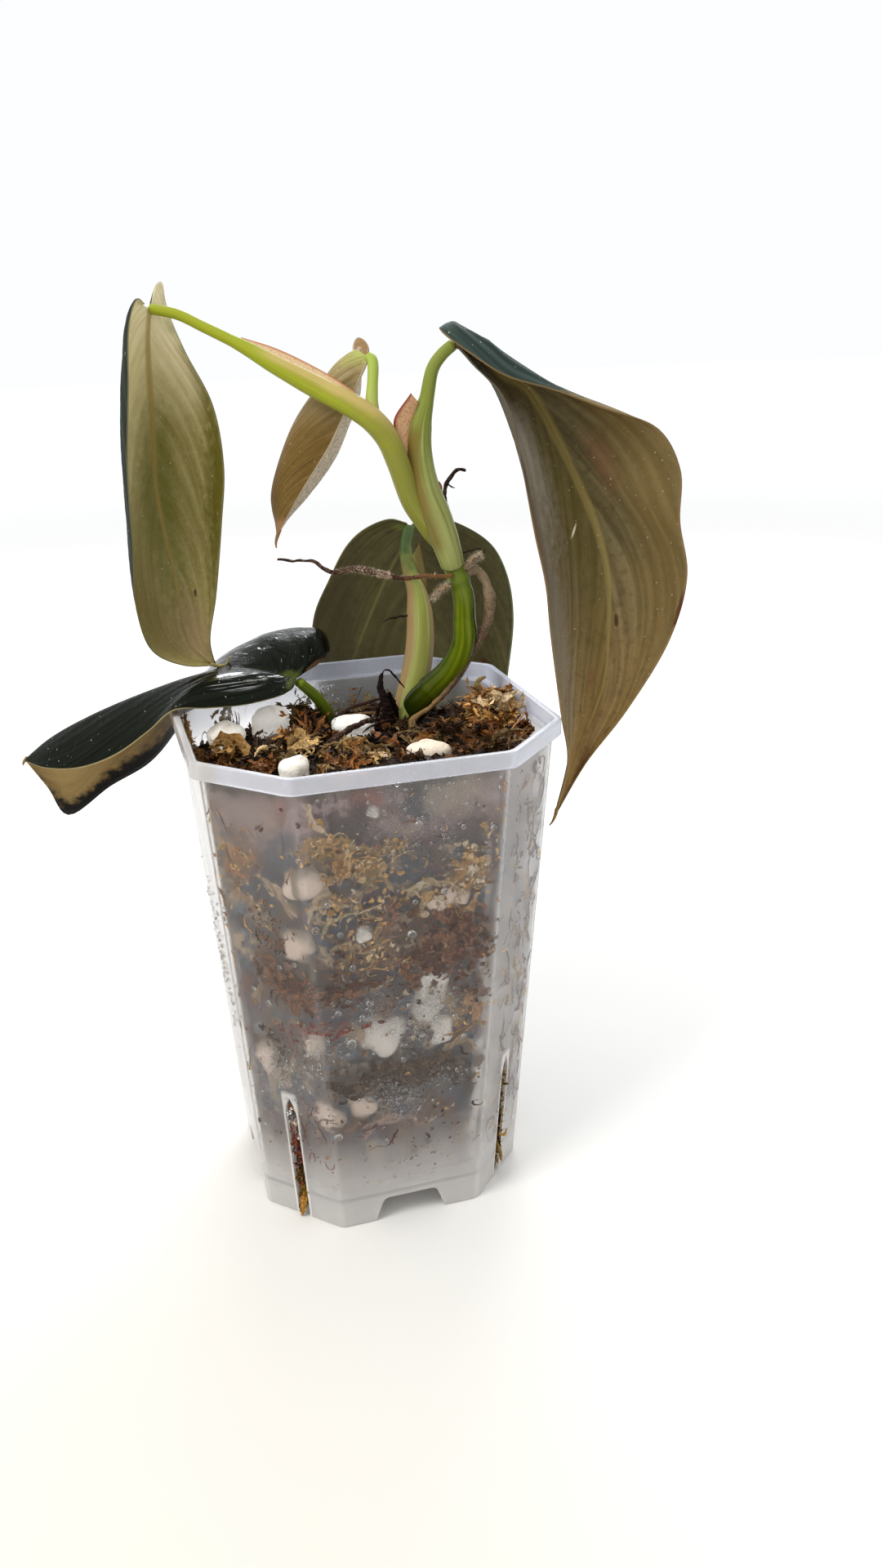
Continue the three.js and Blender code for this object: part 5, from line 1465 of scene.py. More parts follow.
# Single strands: side, places as part and height, width, depth, colour
WALL_STRANDS = [
    (6, [(0.01, 102.3), (0.09, 103.9), (0.19, 103.5), (0.29, 101.3), (0.43, 100)], 1.6, 1.15, "#b39058"),
    (6, [(0.03, 101), (0.14, 101.5), (0.24, 102.6)], 2.2, 1.3, "#a88a58"),
    (6, [(0.18, 102.5), (0.18, 98.7), (0.17, 94.9)], 1.5, 1.1, "#a87a40"),
    (6, [(0.26, 94.7), (0.28, 97.5), (0.33, 98.3), (0.38, 96.8), (0.4, 93.7)], 1.3, 1.25, "#b59c70"),
    (6, [(0.34, 92), (0.3, 95), (0.36, 97)], 3.0, 1.5, "#a8946c"),
    (6, [(0.48, 87.7), (0.54, 89.7), (0.63, 90.8), (0.74, 89.7)], 1.6, 1.3, "#b5a078"),
    (6, [(0.81, 96.2), (0.87, 94.7), (0.94, 94.7)], 1.2, 1.0, "#c29c64"),
    (6, [(0.77, 93.4), (0.86, 91.5), (0.95, 92.3)], 2.6, 1.4, "#b89a6c"),
    (6, [(0.81, 95), (0.8, 91), (0.84, 87.5)], 1.6, 1.2, "#b8884c"),
    (6, [(0.42, 73.3), (0.48, 74.1), (0.56, 75.3), (0.63, 77.4)], 1.8, 1.3, "#ad9a76"),
    (5, [(0.48, 95.1), (0.62, 92.3), (0.74, 89.5), (0.83, 85.9)], 1.8, 1.3, "#a8927a"),
    (5, [(0.09, 96.7), (0.22, 94.3), (0.38, 94.1)], 1.3, 1.0, "#a06e48"),
    (5, [(0.17, 100.5), (0.31, 97.7), (0.51, 100.1)], 1.4, 1.05, "#a87850"),
    (6, [(0.06, 112.7), (0.07, 109.9), (0.09, 108.1), (0.12, 106.4)], 1.2, 1.05, "#dcc4a4"),
    (6, [(0.06, 81.3), (0.1, 84.5), (0.17, 85.8), (0.22, 86.2)], 0.9, 1.15, "#bba882"),
    (6, [(0.38, 97.7), (0.4, 93.7), (0.44, 90)], 1.0, 1.2, "#b09468"),
    (6, [(0.07, 93.7), (0.09, 90.7), (0.05, 88), (0.01, 86.8)], 2.4, 1.5, "#c4b090"),
    (6, [(0.59, 85.3), (0.61, 87.7), (0.67, 88.8)], 1.3, 1.0, "#c0985c"),
    (6, [(0.78, 83.4), (0.85, 83.3), (0.89, 85.6)], 1.6, 1.1, "#b58c50"),
    (6, [(0.1, 77.4), (0.18, 78.3), (0.27, 76.1), (0.35, 76.9)], 1.5, 1.2, "#a8906a"),
    (6, [(0.31, 78.8), (0.38, 82.4), (0.38, 86.4)], 1.8, 1.35, "#96785a"),
    (6, [(0.4, 80), (0.44, 84), (0.42, 88)], 1.4, 1.1, "#8a5c40"),
    (5, [(0.12, 90), (0.3, 88), (0.42, 84)], 1.2, 1.2, "#9a7656"),
    (5, [(0.2, 60), (0.35, 66), (0.6, 63)], 1.6, 1.4, "#a08a6c"),
    (6, [(0.1, 46), (0.3, 44.5), (0.5, 47)], 2.2, 1.5, "#8f8070"),
    (6, [(0.2, 27), (0.4, 30), (0.6, 26)], 2.0, 1.4, "#a5897a"),
    (5, [(0.25, 37), (0.45, 42), (0.6, 47)], 2.2, 1.4, "#b8a28a"),
    (6, [(0.7, 45), (0.85, 48), (0.95, 44)], 1.6, 1.3, "#9a8668"),
    (6, [(0.03, 68), (0.2, 66), (0.4, 67)], 1.8, 1.3, "#8c7860"),
    (6, [(0.86, 60), (0.93, 56), (0.9, 52)], 1.5, 1.0, "#a87c50"),
]

# Pumice: side, part, height, radius, depth of the near side
PUMICE_AT_WALL = [
    (6, 0.35, 52.7, 4.4, 1.0), (6, 0.66, 64.8, 3.6, 1.0), (6, 0.64, 59.2, 4.0, 1.0),
    (6, 0.72, 51.6, 3.0, 1.0), (5, 0.85, 77.8, 3.2, 1.8), (6, 0.01, 93.8, 2.9, 2.0),
    (6, 0.7, 86.3, 3.2, 2.0), (6, 0.8, 85.2, 2.6, 2.2), (6, 0.28, 79.8, 1.7, 1.0), (6, 0.2, 34, 3.2, 2.2),
    (5, 0.94, 32.2, 3.6, 2.2), (5, 0.18, 44.4, 3.4, 2.2), (5, 0.88, 53.1, 2.6, 2.2),
    (6, 0.36, 109, 1.2, 1.0), (5, 0.88, 93, 2.7, 2.2), (7, 0.6, 60, 4, 2.4), (0, 0.3, 70, 4.2, 1.5),
    (0, 0.7, 40, 3.6, 1.4), (0, 0.5, 95, 3.4, 1.8), (2, 0.3, 80, 4, 1.5), (2, 0.7, 55, 3.6, 1.4),
    (2, 0.5, 30, 3.2, 1.7), (4, 0.3, 45, 4, 1.4), (4, 0.6, 75, 3.6, 1.6), (4, 0.4, 98, 3, 1.8),
    (1, 0.5, 62, 3.4, 1.8), (3, 0.4, 50, 3.6, 1.8), (3, 0.6, 92, 3, 1.8),
]


def flakes_at_wall(random):
    """Clouds of flakes, with most of the dark ones wet and near the wall, and a thin veil all round."""
    flakes = Pile()
    for side, part, z, reach, size, count, colours in FLAKES:
        near = 1.8 if colours in (BROWN, OLIVE, RED) else 0.8
        torn_bits(flakes, random, side, part, z, reach, 0.8 * size, round(near * count), colours, (0.8, 0.9))
        torn_bits(flakes, random, side, part, z, reach, 1.1 * size, round(1.2 * count), colours, (1.0, 1.6))
    for side in (0, 1, 2, 3, 4):
        for _ in range(26):
            colours = [BROWN, BROWN, GOLD, OLIVE, RED, TAN][random.integers(6)]
            torn_bits(flakes, random, side, random.uniform(0.1, 0.9), random.uniform(18, 108),
                      random.uniform(2, 8, 2), random.uniform(0.8, 1.6), random.integers(20, 60), colours)
    broad = ((7, 0.6, 14, 1.8, 190), (5, 0.5, 34, 0.8, 160), (6, 0.5, 34, 0.7, 420))
    for side, part, reach, size, count in broad:
        torn_bits(flakes, random, side, part, 64, (reach, 90), size, count, BROWN + BROWN + GOLD)
    flakes.piece("flakes_at_wall", tinted_material("flake_skin", 0.6), "substrate", smooth_faces=False)


def short_threads(threads, random):
    """Many short bent threads that lie along the wall."""
    steps = 12
    for side, part, spread, low, high, count, length, codes in THREADS:
        at = part + random.uniform(-spread, spread, count)
        z = random.uniform(low, high, count)
        turn = random.uniform(0, 2 * math.pi, count)
        bend = random.normal(0, 0.5, count)
        long = length * random.uniform(0.5, 1.5, count)
        depth = random.uniform(0.8, 1.2, count)
        paths = []
        for _ in range(steps):
            here = (side + np.floor(at).astype(int)) % 8
            paths.append(on_wall(here, at - np.floor(at), np.clip(z, *WALL_REACH), depth))
            turn = turn + bend / 3 + random.normal(0, 0.25, count)
            at = at + np.cos(turn) * long / steps / 40
            z = z + np.sin(turn) * long / steps
        width = random.uniform(0.25, 0.6, count) * (1.8 if side == 7 else 1)
        strands(threads, random, np.stack(paths, axis=1), width, shades(random, codes, count))


def frayed_strands(threads, random):
    """Single strands, each of four ragged strips that sway about the same path."""
    steps = 30
    up = np.array([0, 0, 1])
    profile = np.sin(np.linspace(0.15, 0.95, steps) * math.pi) ** 0.6
    for side, places, width, depth, colour in WALL_STRANDS:
        outward = out_of_wall(side)
        path = Curve(on_wall(side, *np.array(places, float).T, depth)).even(np.linspace(0, 1, steps))
        for _ in range(4):
            sway = [waves(path, 5, random.integers(99)) for _ in range(2)]
            sway = 0.5 * width * np.stack(sway, axis=1)
            here = path + sway[:, :1] * np.cross(outward, up) + sway[:, 1:] * up
            away = unit(np.cross(np.gradient(here, axis=0), outward))
            taper = width * random.uniform(0.2, 0.45) * profile
            reach = away * (taper * random.uniform(0.5, 1.2, steps))[:, None]
            strip = keep_inside(np.stack([here - reach, here + reach], axis=1).reshape(-1, 3), depth)
            threads.add(strip, grid_faces(steps - 1, 1), linear(colour) * random.uniform(0.75, 1.2))


def pumice_at_wall():
    """Stones behind the wall, flattened against it, and pale where they touch it."""
    stones = Pile()
    rim_tone = linear("#9a8b7a")
    for seed, (side, part, z, radius, depth) in enumerate(PUMICE_AT_WALL):
        points, faces = ball(22, 14)
        facing = out_of_wall(side)
        is_far = depth > 1.5
        points = points * (1 + 0.2 * waves(points, 1.8, seed)[:, None])
        points = radius * 1.2 * points + (2.2 - radius * 1.2) * (points @ facing)[:, None] * facing
        near = unit(points) @ facing
        soft = smooth(0.1, 0.75, near) if is_far else smooth(-0.2, 0.45, near)
        tone = rim_tone + (linear("#ead6c6" if is_far else "#f6f1e8") - rim_tone) * soft[:, None]
        points = keep_inside(points + on_wall(side, part, z, depth - 0.9 * is_far + 2.0), 1.0)
        stones.add(points, faces, tone)
    stones.piece("pumice_at_wall", tinted_material("pumice_skin", 0.9, 0.06), "pumice")


def wall_bits():
    """All that is seen through the wall, from one row of random draws."""
    random = np.random.default_rng(5)
    flakes_at_wall(random)
    threads = Pile()
    short_threads(threads, random)
    frayed_strands(threads, random)
    threads.piece("threads_at_wall", tinted_material("thread_skin", 0.7), "substrate")
    pumice_at_wall()


wall_bits()


# The soil and what lies on it

# Blurred patches of the soil behind the wall: side, part, height, reach, shade, strength
SIDE_SPOTS = [
    (6, 0.35, 112.2, 4, "#ad6a60", 0.7), (5, 0.75, 110.9, 3.5, "#ad6a60", 0.6),
    (6, 0.6, 110.5, 5, "#474e5c", 0.85), (6, 0.25, 105.4, 6, "#4a3c42", 0.85),
    (6, 0.89, 100.5, 6, "#5c4a4c", 0.8), (6, 0.11, 84, 5, "#4c5260", 0.85),
    (5, 0.73, 99.7, 5, "#616876", 0.85), (5, 0.45, 91.5, 4, "#5c6676", 0.8),
    (5, 0.39, 85.1, 5, "#5e6878", 0.8), (6, 0.57, 83.9, 4, "#3c4248", 0.85),
    (6, 0.78, 113, 8, "#c0b2a2", 0.8), (6, 0.51, 95.4, 5, "#494e59", 0.85),
    (6, 0.33, 96, 4, "#a8916c", 0.8), (6, 0.87, 91, 5, "#bfa17c", 0.8), (6, 0.18, 100, 5, "#9a7f58", 0.7),
    (5, 0.22, 97, 5, "#a5836a", 0.8), (5, 0.3, 108, 8, "#a89490", 0.8), (6, 0.85, 74, 7, "#5c3c30", 0.7),
    (5, 0.7, 68, 6, "#5c3c30", 0.7), (6, 0.5, 42, 7, "#3e3428", 0.7), (6, 0.2, 60, 6, "#555c69", 0.7),
]


def soil_height(x, y):
    """How high the soil's top lies at a place."""
    height = SOIL_HEIGHT - SOIL_FALL * y
    height = height + 0.7 * np.sin(x * 0.55 + 1) * np.cos(y * 0.6) + 0.4 * np.sin(x * 1.1 - y * 0.9)
    for hx, hy, high, spread in SOIL_HUMPS:
        height = height + high * np.exp(-((x - hx) ** 2 + (y - hy) ** 2) / spread ** 2)
    return height


def soil_material():
    """Wet dark moss on top. At the sides, blurred patches of brown, tan and grey, and painted light near the
    front-right corner.
    """
    s = Shader("substrate_mix")
    broad = s.noise(0.11, distortion=0.6)
    patches = s.noise(0.2, s.vector("ADD", s.place, (31, 7, 3)))
    mauve = s.noise(0.16, s.vector("ADD", s.place, (5, 50, 9)))
    fine = s.noise(0.9, detail=6.0)
    height = s.split()[2]
    side = s.mix(s.band(fine, 0.35, 0.65), "#41444f", "#676a77")
    for noise, low, high, shade in (
            (mauve, 0.5, 0.62, "#6a5058"), (mauve, 0.42, 0.34, "#7d8796"), (broad, 0.52, 0.6, "#75553f"),
            (patches, 0.57, 0.64, "#bda588"), (patches, 0.43, 0.35, "#5c3e38")):
        side = s.mix(s.band(noise, low, high), side, shade)
    side = s.mix(s.band(height, 97, 106) * s.band(fine, 0.3, 0.6), side, "#b39c98")
    for wall, part, z, reach, shade, strength in SIDE_SPOTS:
        spot = tuple(float(n) for n in on_wall(wall, part, z, 2.2))
        away = s.vector("DISTANCE", s.place, spot, output="Value") / reach + (patches - 0.5) * 2.2
        side = s.mix(s.band(away, 1.1, 0.6) * strength, side, shade)
    side = s.mix(s.band(height, 30, 12), side, "#c2b8b0")
    # painted light: the soil's side turns near white behind the front-right cut corner
    right = s.dot((1, -1, -0.1167))
    side = s.mix(s.band(right, 43.4, 45.4), side, s.mix(s.band(patches, 0.4, 0.6), "#d8d0ca", "#f4efe9"))
    top = s.mix(s.band(fine, 0.35, 0.7), "#140b06", "#3a2414")
    return s.done(base_color=s.mix(s.read("top"), side, top), roughness=0.7, specular_ior_level=0.15,
                  normal=s.bump(fine, 0.8, 0.8))


def soil_rings():
    """Rings from the soil's foot to the middle of its top, and 1 for those on top, 0 for those below."""
    foot = FLOOR_TOP + SOIL_LIFT
    rings = []
    for scale, z in ((0.05, SOIL_FOOT), (1.0, SOIL_FOOT), (1.0, FLOOR_HEIGHT + 1.3)):
        rings.append(cut_square((WELL_HALF - 1.3) * scale, (WELL_CORNER - 0.7) * scale, z, 1.5 * scale))
    rings.append(cut_square(*wall_section(foot, SOIL_EDGE + 0.4), foot, SOIL_ROUND))
    top = [0, 0, 0, 0]
    edge = cut_square(*wall_section(110, WALL + 0.8), 110, SOIL_ROUND)
    high = soil_height(edge[:, 0], edge[:, 1])
    low = foot + 0.6
    low_half, low_corner = wall_section(low, SOIL_EDGE)
    for level in np.linspace(0, 1, 110):
        ring = cut_square(low_half, low_corner, low, SOIL_ROUND)
        ring[:, 2] = low + (high - low) * level
        ring[:, :2] *= (wall_section(ring[:, 2], SOIL_EDGE)[0] / low_half)[:, None]
        rings.append(ring)
        top.append(smooth(0.97, 1.0, level))
    crown = rings[-1]
    for scale in np.linspace(0.985, 0.02, 60):
        ring = crown * (scale, scale, 1)
        ring[:, 2] = soil_height(ring[:, 0], ring[:, 1])
        rings.append(ring)
        top.append(1)
    return rings, np.array(top, float)


def soil():
    rings, top = soil_rings()
    count = len(rings[0])
    points = np.vstack(rings)
    marks = np.repeat(top, count)
    lumps = waves(points, 7, 3) * 0.5 + waves(points, 3, 4) * 0.25
    at_side = (np.arange(len(points)) // count >= 4) & (marks < 1)
    outward = unit(points * (1, 1, 0))
    points = points + outward * np.where(at_side, np.minimum(lumps - 0.9, 0.3), 0)[:, None]
    points[:, 2] += np.where(marks == 1, waves(points, 2.6, 7) * 0.35 + waves(points, 5, 8) * 0.3, 0)
    points = np.vstack([points, (0, 0, SOIL_FOOT), (0, 0, soil_height(0, 0))])
    faces = [grid_faces(len(rings) - 1, count, wrap=True), end_caps(len(rings), count)]
    numbers = {"top": np.append(marks, [0, 1])}
    piece = mesh_object("substrate", points, faces, [soil_material()], numbers=numbers)
    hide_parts("soil")


soil()

DARK = ["#1e120a", "#2c1b10", "#382416", "#170d08"]
MID = ["#4a2f18", "#62401f", "#52351b", "#382211"]
ORANGE = ["#8a5524", "#a0682e", "#74441a", "#bb8440"]
GOLDEN = ["#cf9f5c", "#dcb678", "#e8cd9a", "#b88a48"]
PALE = ["#f0c88e", "#e2ae70", "#f6dcae", "#c89250"]
SANDY = ["#96794a", "#b3925c", "#765a34"]

# Pumice on the soil: middle, half sizes, turn in degrees, colour
PUMICE_STONES = [
    ((-29.5, 12, 112), (4.6, 4, 4.4), 20, "#f2ede2"), ((-18, 17, 112.5), (5.2, 4, 4.6), -15, "#f4f1ea"),
    ((1, 11, 111.3), (6, 4.2, 3.2), -12, "#f6f3ec"), ((-19, -20, 113.5), (3.8, 3, 3.4), 35, "#ece6da"),
    ((11.5, -19, 113.5), (4.6, 3.4, 3.4), -20, "#ecdcc6"), ((0.5, -18.5, 113), (2, 1.8, 2.2), 0, "#e6cdb8"),
]

# Patches of moss on the soil: x, y, spread, count, lift, length, width, rise, colours
MOSS = [
    (0, 0, 19, 420, 0.6, 6, 0.5, 0.2, DARK), (0, 0, 19, 260, 0.9, 6, 0.5, 0.25, MID),
    (10, -8, 13, 120, 1.0, 6, 0.5, 0.25, MID + ORANGE), (0, -10, 18, 90, 1.2, 6, 0.45, 0.3, ORANGE + SANDY),
    (-33, -3, 4.5, 90, 1.2, 5, 0.5, 0.4, ORANGE), (-28, -12, 5, 60, 1.2, 5, 0.5, 0.3, MID + ORANGE),
    (-15, 3, 6, 110, 1.8, 5, 0.5, 0.5, MID + ORANGE), (-8, 8, 4.5, 70, 2.0, 5, 0.5, 0.5, MID + ORANGE),
    (-22, -4, 5, 36, 1.6, 7, 0.8, 0.5, GOLDEN + SANDY), (-10, 20, 4.5, 110, 2.6, 5, 0.5, 0.8, MID + SANDY),
    (-5, -10, 7, 70, 1.4, 7, 0.5, 0.4, SANDY + MID), (-2, -16, 7, 50, 1.3, 5, 0.5, 0.4, ORANGE + SANDY),
    (20, -4, 8, 120, 1.3, 7, 0.5, 0.4, MID + SANDY), (25, -12, 7, 80, 1.2, 6, 0.5, 0.4, DARK + ORANGE),
    (36, -11, 3, 40, 1.4, 4, 0.6, 0.5, ORANGE), (31, 0, 3.5, 90, 1.4, 5, 0.5, 0.8, GOLDEN + ORANGE),
    (34.5, 3, 2.8, 200, 2.2, 6, 0.8, 1.5, PALE), (33.5, -2, 3, 110, 1.6, 6, 0.7, 0.9, PALE + GOLDEN),
    (30, 2, 4, 60, 1.6, 5, 0.5, 0.7, MID + GOLDEN), (-14, -27, 9, 90, 0.8, 6, 0.5, 0.25, MID + ORANGE),
    (12, -28, 9, 90, 0.8, 6, 0.5, 0.25, DARK + MID), (30, -25, 6, 50, 0.8, 6, 0.5, 0.25, MID + SANDY),
    (14, 19, 8, 70, 1.0, 5, 0.5, 0.4, DARK + MID), (-24, 20, 7, 50, 0.5, 5, 0.5, 0.2, DARK + MID),
    (5, 30, 12, 90, 0.9, 5, 0.5, 0.3, DARK + MID), (28, 28, 7, 50, 0.9, 5, 0.5, 0.3, DARK + MID),
]


def off_stones(paths, random):
    """Which paths leave the stones, and a little in front of them, free. A few may cross."""
    free = np.ones(len(paths), bool)
    for (x, y, _), (a, b, _), _, _ in PUMICE_STONES[:4]:
        away = ((paths[..., 0] - x) / (a + 0.5)) ** 2 + ((paths[..., 1] - y + 2) / (b + 1.5)) ** 2
        free &= away.min(axis=1) > 1
    return free | (random.random(len(paths)) < 0.06)


def moss_paths(random, middle, spread, count, lift, length, rise, codes):
    """Paths of strands in tufts of about seven, which creep over the soil, and the colour of each."""
    steps = 12
    tufts = count // 7 + 1
    tuft = random.integers(tufts, size=count)
    starts = random.normal(0, 0.6 * spread, (tufts, 2))[tuft] + random.normal(0, 0.6, (count, 2)) + middle
    heading = random.uniform(0, 2 * math.pi, tufts)[tuft] + random.normal(0, 0.25, count)
    bend = random.normal(0, 0.22, tufts)[tuft] + random.normal(0, 0.06, count)
    pitch = np.clip(random.normal(rise, 0.4 + 0.3 * rise, tufts), -0.3, 1.9)[tuft]
    pitch = pitch + random.normal(0, 0.15, count)
    long = length * random.uniform(0.6, 1.6, tufts)[tuft] * random.uniform(0.7, 1.2, count)
    tones = shades(random, codes, tufts, 0.3, 1.25)[tuft] * random.uniform(0.55, 1.3, (count, 1))
    spot = np.column_stack([starts, soil_height(*starts.T) + random.uniform(0, lift, count)])
    stride = (long / steps)[:, None]
    paths = []
    for _ in range(steps):
        paths.append(spot.copy())
        heading = heading + bend + random.normal(0, 0.14, count)
        pitch = pitch - 0.1
        spot = spot + stride * np.column_stack([np.cos(heading), np.sin(heading), 0.7 * np.sin(pitch)])
        spot[:, 2] = np.maximum(spot[:, 2], soil_height(spot[:, 0], spot[:, 1]))
    paths = keep_inside(np.stack(paths, axis=1), WALL + 0.5)
    free = off_stones(paths, random)
    return paths[free], tones[free]


def leaves_along(pile, random, paths, tones, width):
    """Five small leaves along each strand of moss."""
    count, steps = paths.shape[:2]
    each = 5
    at = random.integers(1, steps, (count, each))
    row = np.arange(count)[:, None]
    places = paths[row, at].reshape(-1, 3)
    tangents = unit(paths[row, at] - paths[row, at - 1]).reshape(-1, 3)
    outward = unit(tangents + random.normal(0, 0.55, tangents.shape))
    sizes = random.uniform(0.8, 2.4, len(places)) * (0.6 + 0.8 * width)
    tips = keep_inside(places + outward * sizes[:, None], WALL + 0.4) - places
    leaflets(pile, random, places, unit(tips), np.linalg.norm(tips, axis=1),
             np.repeat(tones, each, axis=0) * random.uniform(0.7, 1.3, (len(places), 1)))


def moss():
    """Strands of moss on the soil, six in ten of them flat, and the small leaves that grow from them."""
    random = np.random.default_rng(11)
    tangle, leaves = Pile(), Pile()
    for x, y, spread, count, lift, length, width, rise, codes in MOSS:
        paths, tones = moss_paths(random, (x, y), spread, count, lift, length, rise, codes)
        wide = random.random(len(paths)) < 0.6
        ribbons(tangle, random, paths[wide], width * random.uniform(1.8, 4.6, wide.sum()), tones[wide])
        strands(tangle, random, paths[~wide], width * random.uniform(0.5, 1.3, (~wide).sum()), tones[~wide])
        leaves_along(leaves, random, paths, tones, width)
    tangle.piece("moss_strands", tinted_material("moss_strand", 0.5, 0.35, 0.2), "substrate")
    leaf_skin = tinted_material("moss_leaf", 0.5, 0.3, 0.2)
    leaves.piece("moss_leaflets", leaf_skin, "substrate", smooth_faces=False)


moss()


# Single fibres that stand out: points, width, colour
FIBRES = [
    ([(31.8, 8.5, 116), (31.9, 8.5, 119.2), (33.2, 8.3, 121), (34.6, 8.2, 121.4)], 1.3, "#9a8550"),
    ([(33, 4, 117.5), (36, -0.5, 117.2), (38.2, -2, 117.6), (38.6, -1, 119.2)], 0.6, "#d0a968"),
    ([(36, -0.5, 117.2), (37.6, -4.5, 116.8), (38.4, -6, 115.8)], 0.4, "#c39a5c"),
    ([(31, -15, 114.5), (35, -12.5, 116), (38.4, -9, 117.6)], 0.55, "#a5764a"),
    ([(-24, -5, 112.5), (-23, -7, 115), (-24.5, -8.5, 115.8), (-26, -9, 114)], 1.0, "#d2b37c"),
    ([(-9, -11, 112), (-6, -9.5, 115.5), (-2, -10.5, 116), (1, -13, 113.5)], 0.8, "#8a7146"),
    ([(-12, -8, 112.5), (-8, -9, 115), (-3.5, -13, 114)], 0.6, "#6d5634"),
    ([(10.5, 24, 107), (11, 24, 110.5), (12, 23.5, 112.5), (11.5, 23.5, 113.6)], 0.6, "#7a5a2c"),
    ([(-1.5, 26, 108), (-2, 26, 113), (-3.5, 26.5, 117)], 0.5, "#6b5030"),
]

# Thin black and brown roots on the soil: points, width, colour
ROOTLETS = [
    ([(8.8, 11.4, 123.6), (9.9, 11.5, 125), (11.4, 11.5, 124.2), (12.9, 11.5, 122.2), (14.8, 12.4, 119.6)],
     0.5, "#1c0f0e"),
    ([(10, 12.5, 117.5), (6, 12.5, 117), (1, 13.5, 115.5), (-3, 14, 113.2), (-5.5, 14.5, 111.5)], 0.8,
     "#2e1a14"),
    ([(10, 12, 116.4), (6.5, 11.5, 115.4), (3, 12.5, 114.8)], 0.5, "#24130f"),
    ([(13, 14, 112.8), (7, 14.5, 113.4), (0.5, 15.5, 113.3)], 0.8, "#8a6b48"),
    ([(-3, 12.5, 113.5), (-1, 11.5, 112), (1.5, 10.5, 111.4)], 0.9, "#130b09"),
    ([(-3.8, 14, 112), (-2.6, 12.8, 110.7), (-1.2, 12.6, 110)], 1.0, "#100807"),
    ([(12.5, 12, 112), (8, 6.5, 113.6), (3.5, 2.5, 114), (1, 1, 113.2)], 0.7, "#2a1611"),
    ([(10.5, 11.5, 119), (12.2, 13, 115), (13.5, 14, 111)], 1.5, "#140a08"),
    ([(9.5, 13, 118), (8.4, 14.2, 114), (8, 15, 111)], 1.0, "#1a0d0b"),
    ([(21.4, 28, 134.1), (17.3, 27, 133.7), (15.7, 26, 133.9), (13.1, 25.5, 133.3)], 0.6, "#2c1c16"),
    ([(22.3, 6, 169.9), (23.2, 6, 168.4), (23.1, 6, 167), (22.3, 6, 165.8)], 0.8, "#93583f"),
    ([(27.2, 5, 153), (30, 5, 153.4), (32.2, 5, 153.7), (33.4, 5, 152.8), (32.6, 5, 152)], 0.35, "#1c120e"),
    ([(27.8, 16.2, 168), (28.8, 16.2, 166.8), (30, 16.4, 166.4)], 0.35, "#241312"),
    ([(31.5, 6.5, 131), (33, 5.8, 132.4), (34.6, 6, 131.4)], 0.5, "#6e3a24"),
]

# Short stubs of root with long hairs: points, width, colour
STUBS = [
    ([(27.3, 5, 149), (29.1, 5, 150.2), (30.8, 5, 151.6), (32.4, 5, 152.2)], 1.5, "#8a7450"),
    ([(25.2, 5, 146.2), (22.9, 4.5, 145.3), (21.4, 4.5, 144.2), (20.4, 4.5, 142.8)], 1.2, "#9c7c54"),
]


def single_fibres(name, lines, material, slot, stubs=()):
    """Fibres along lines of points, and stubs with hairs."""
    random = np.random.default_rng(2)
    pile = Pile()
    for points, width, colour in [*lines, *stubs]:
        paths = Curve(points).even(np.linspace(0, 1, 26))
        paths = paths + 0.12 * waves_vector(paths, 3, len(paths))
        strands(pile, random, paths[None], np.array([width]), linear(colour)[None], sides=7)
    for points, width, _ in stubs:
        fuzz(pile, points, [width / 2, width / 2], [(0.1, 0.5, 260), (0.5, 1.0, 620)], 31, 1.2, "#d8c8b0")
    pile.piece(name, material, slot)


single_fibres("loose_fibres", FIBRES, tinted_material("fibre_skin", 0.5), "substrate")
single_fibres("rootlets", ROOTLETS, tinted_material("rootlet_skin", 0.7), "root_dark", STUBS)

# Moss that fills the slots: side, lowest, highest, colours
SLOT_FILL = [
    (5, 24, 30, GREY + TAN), (5, 19, 27, RED + ["#6b2e1a", "#7a3a1e"]), (5, 10, 21, RED + DARK),
    (5, 2.5, 14, ["#6b5520", "#8a6a24", "#574418"]), (7, 8, 31, ["#7a5a24", "#94702e", "#5a4420"]),
    (7, 3, 12, ["#8a6a30", "#6e5426"]), (1, 3, 30, MID + GOLD), (3, 3, 30, MID + GOLD),
]

# Wisps that hang in and out of the slots: points, width, colour
WISPS = [
    ([(-24.2, -24.2, 7), (-24.9, -24.7, 4.5), (-25.2, -25.3, 2), (-25.6, -25.2, 0.4)], 1.5, "#a0702a"),
    ([(-23.8, -24.6, 6), (-24.6, -25.2, 3.5), (-24.9, -25.6, 1.4)], 0.9, "#b98a3c"),
    ([(-24.6, -23.9, 5.5), (-25.4, -24.4, 3), (-25.9, -25.0, 1.2)], 0.7, "#7a5420"),
    ([(25.6, -25.6, 30), (25.2, -25.4, 24), (25.7, -25.3, 18), (25.1, -25.5, 12), (25.9, -25.4, 8)], 0.9,
     "#120b0c"),
    ([(24.6, -24.6, 14), (25.3, -25.3, 12.5), (26.6, -26.0, 12.0), (27.4, -25.6, 13.4)], 0.8, "#a07a34"),
    ([(24.8, -24.9, 10), (25.6, -25.6, 7), (25.8, -25.9, 4)], 1.0, "#8a6a30"),
]


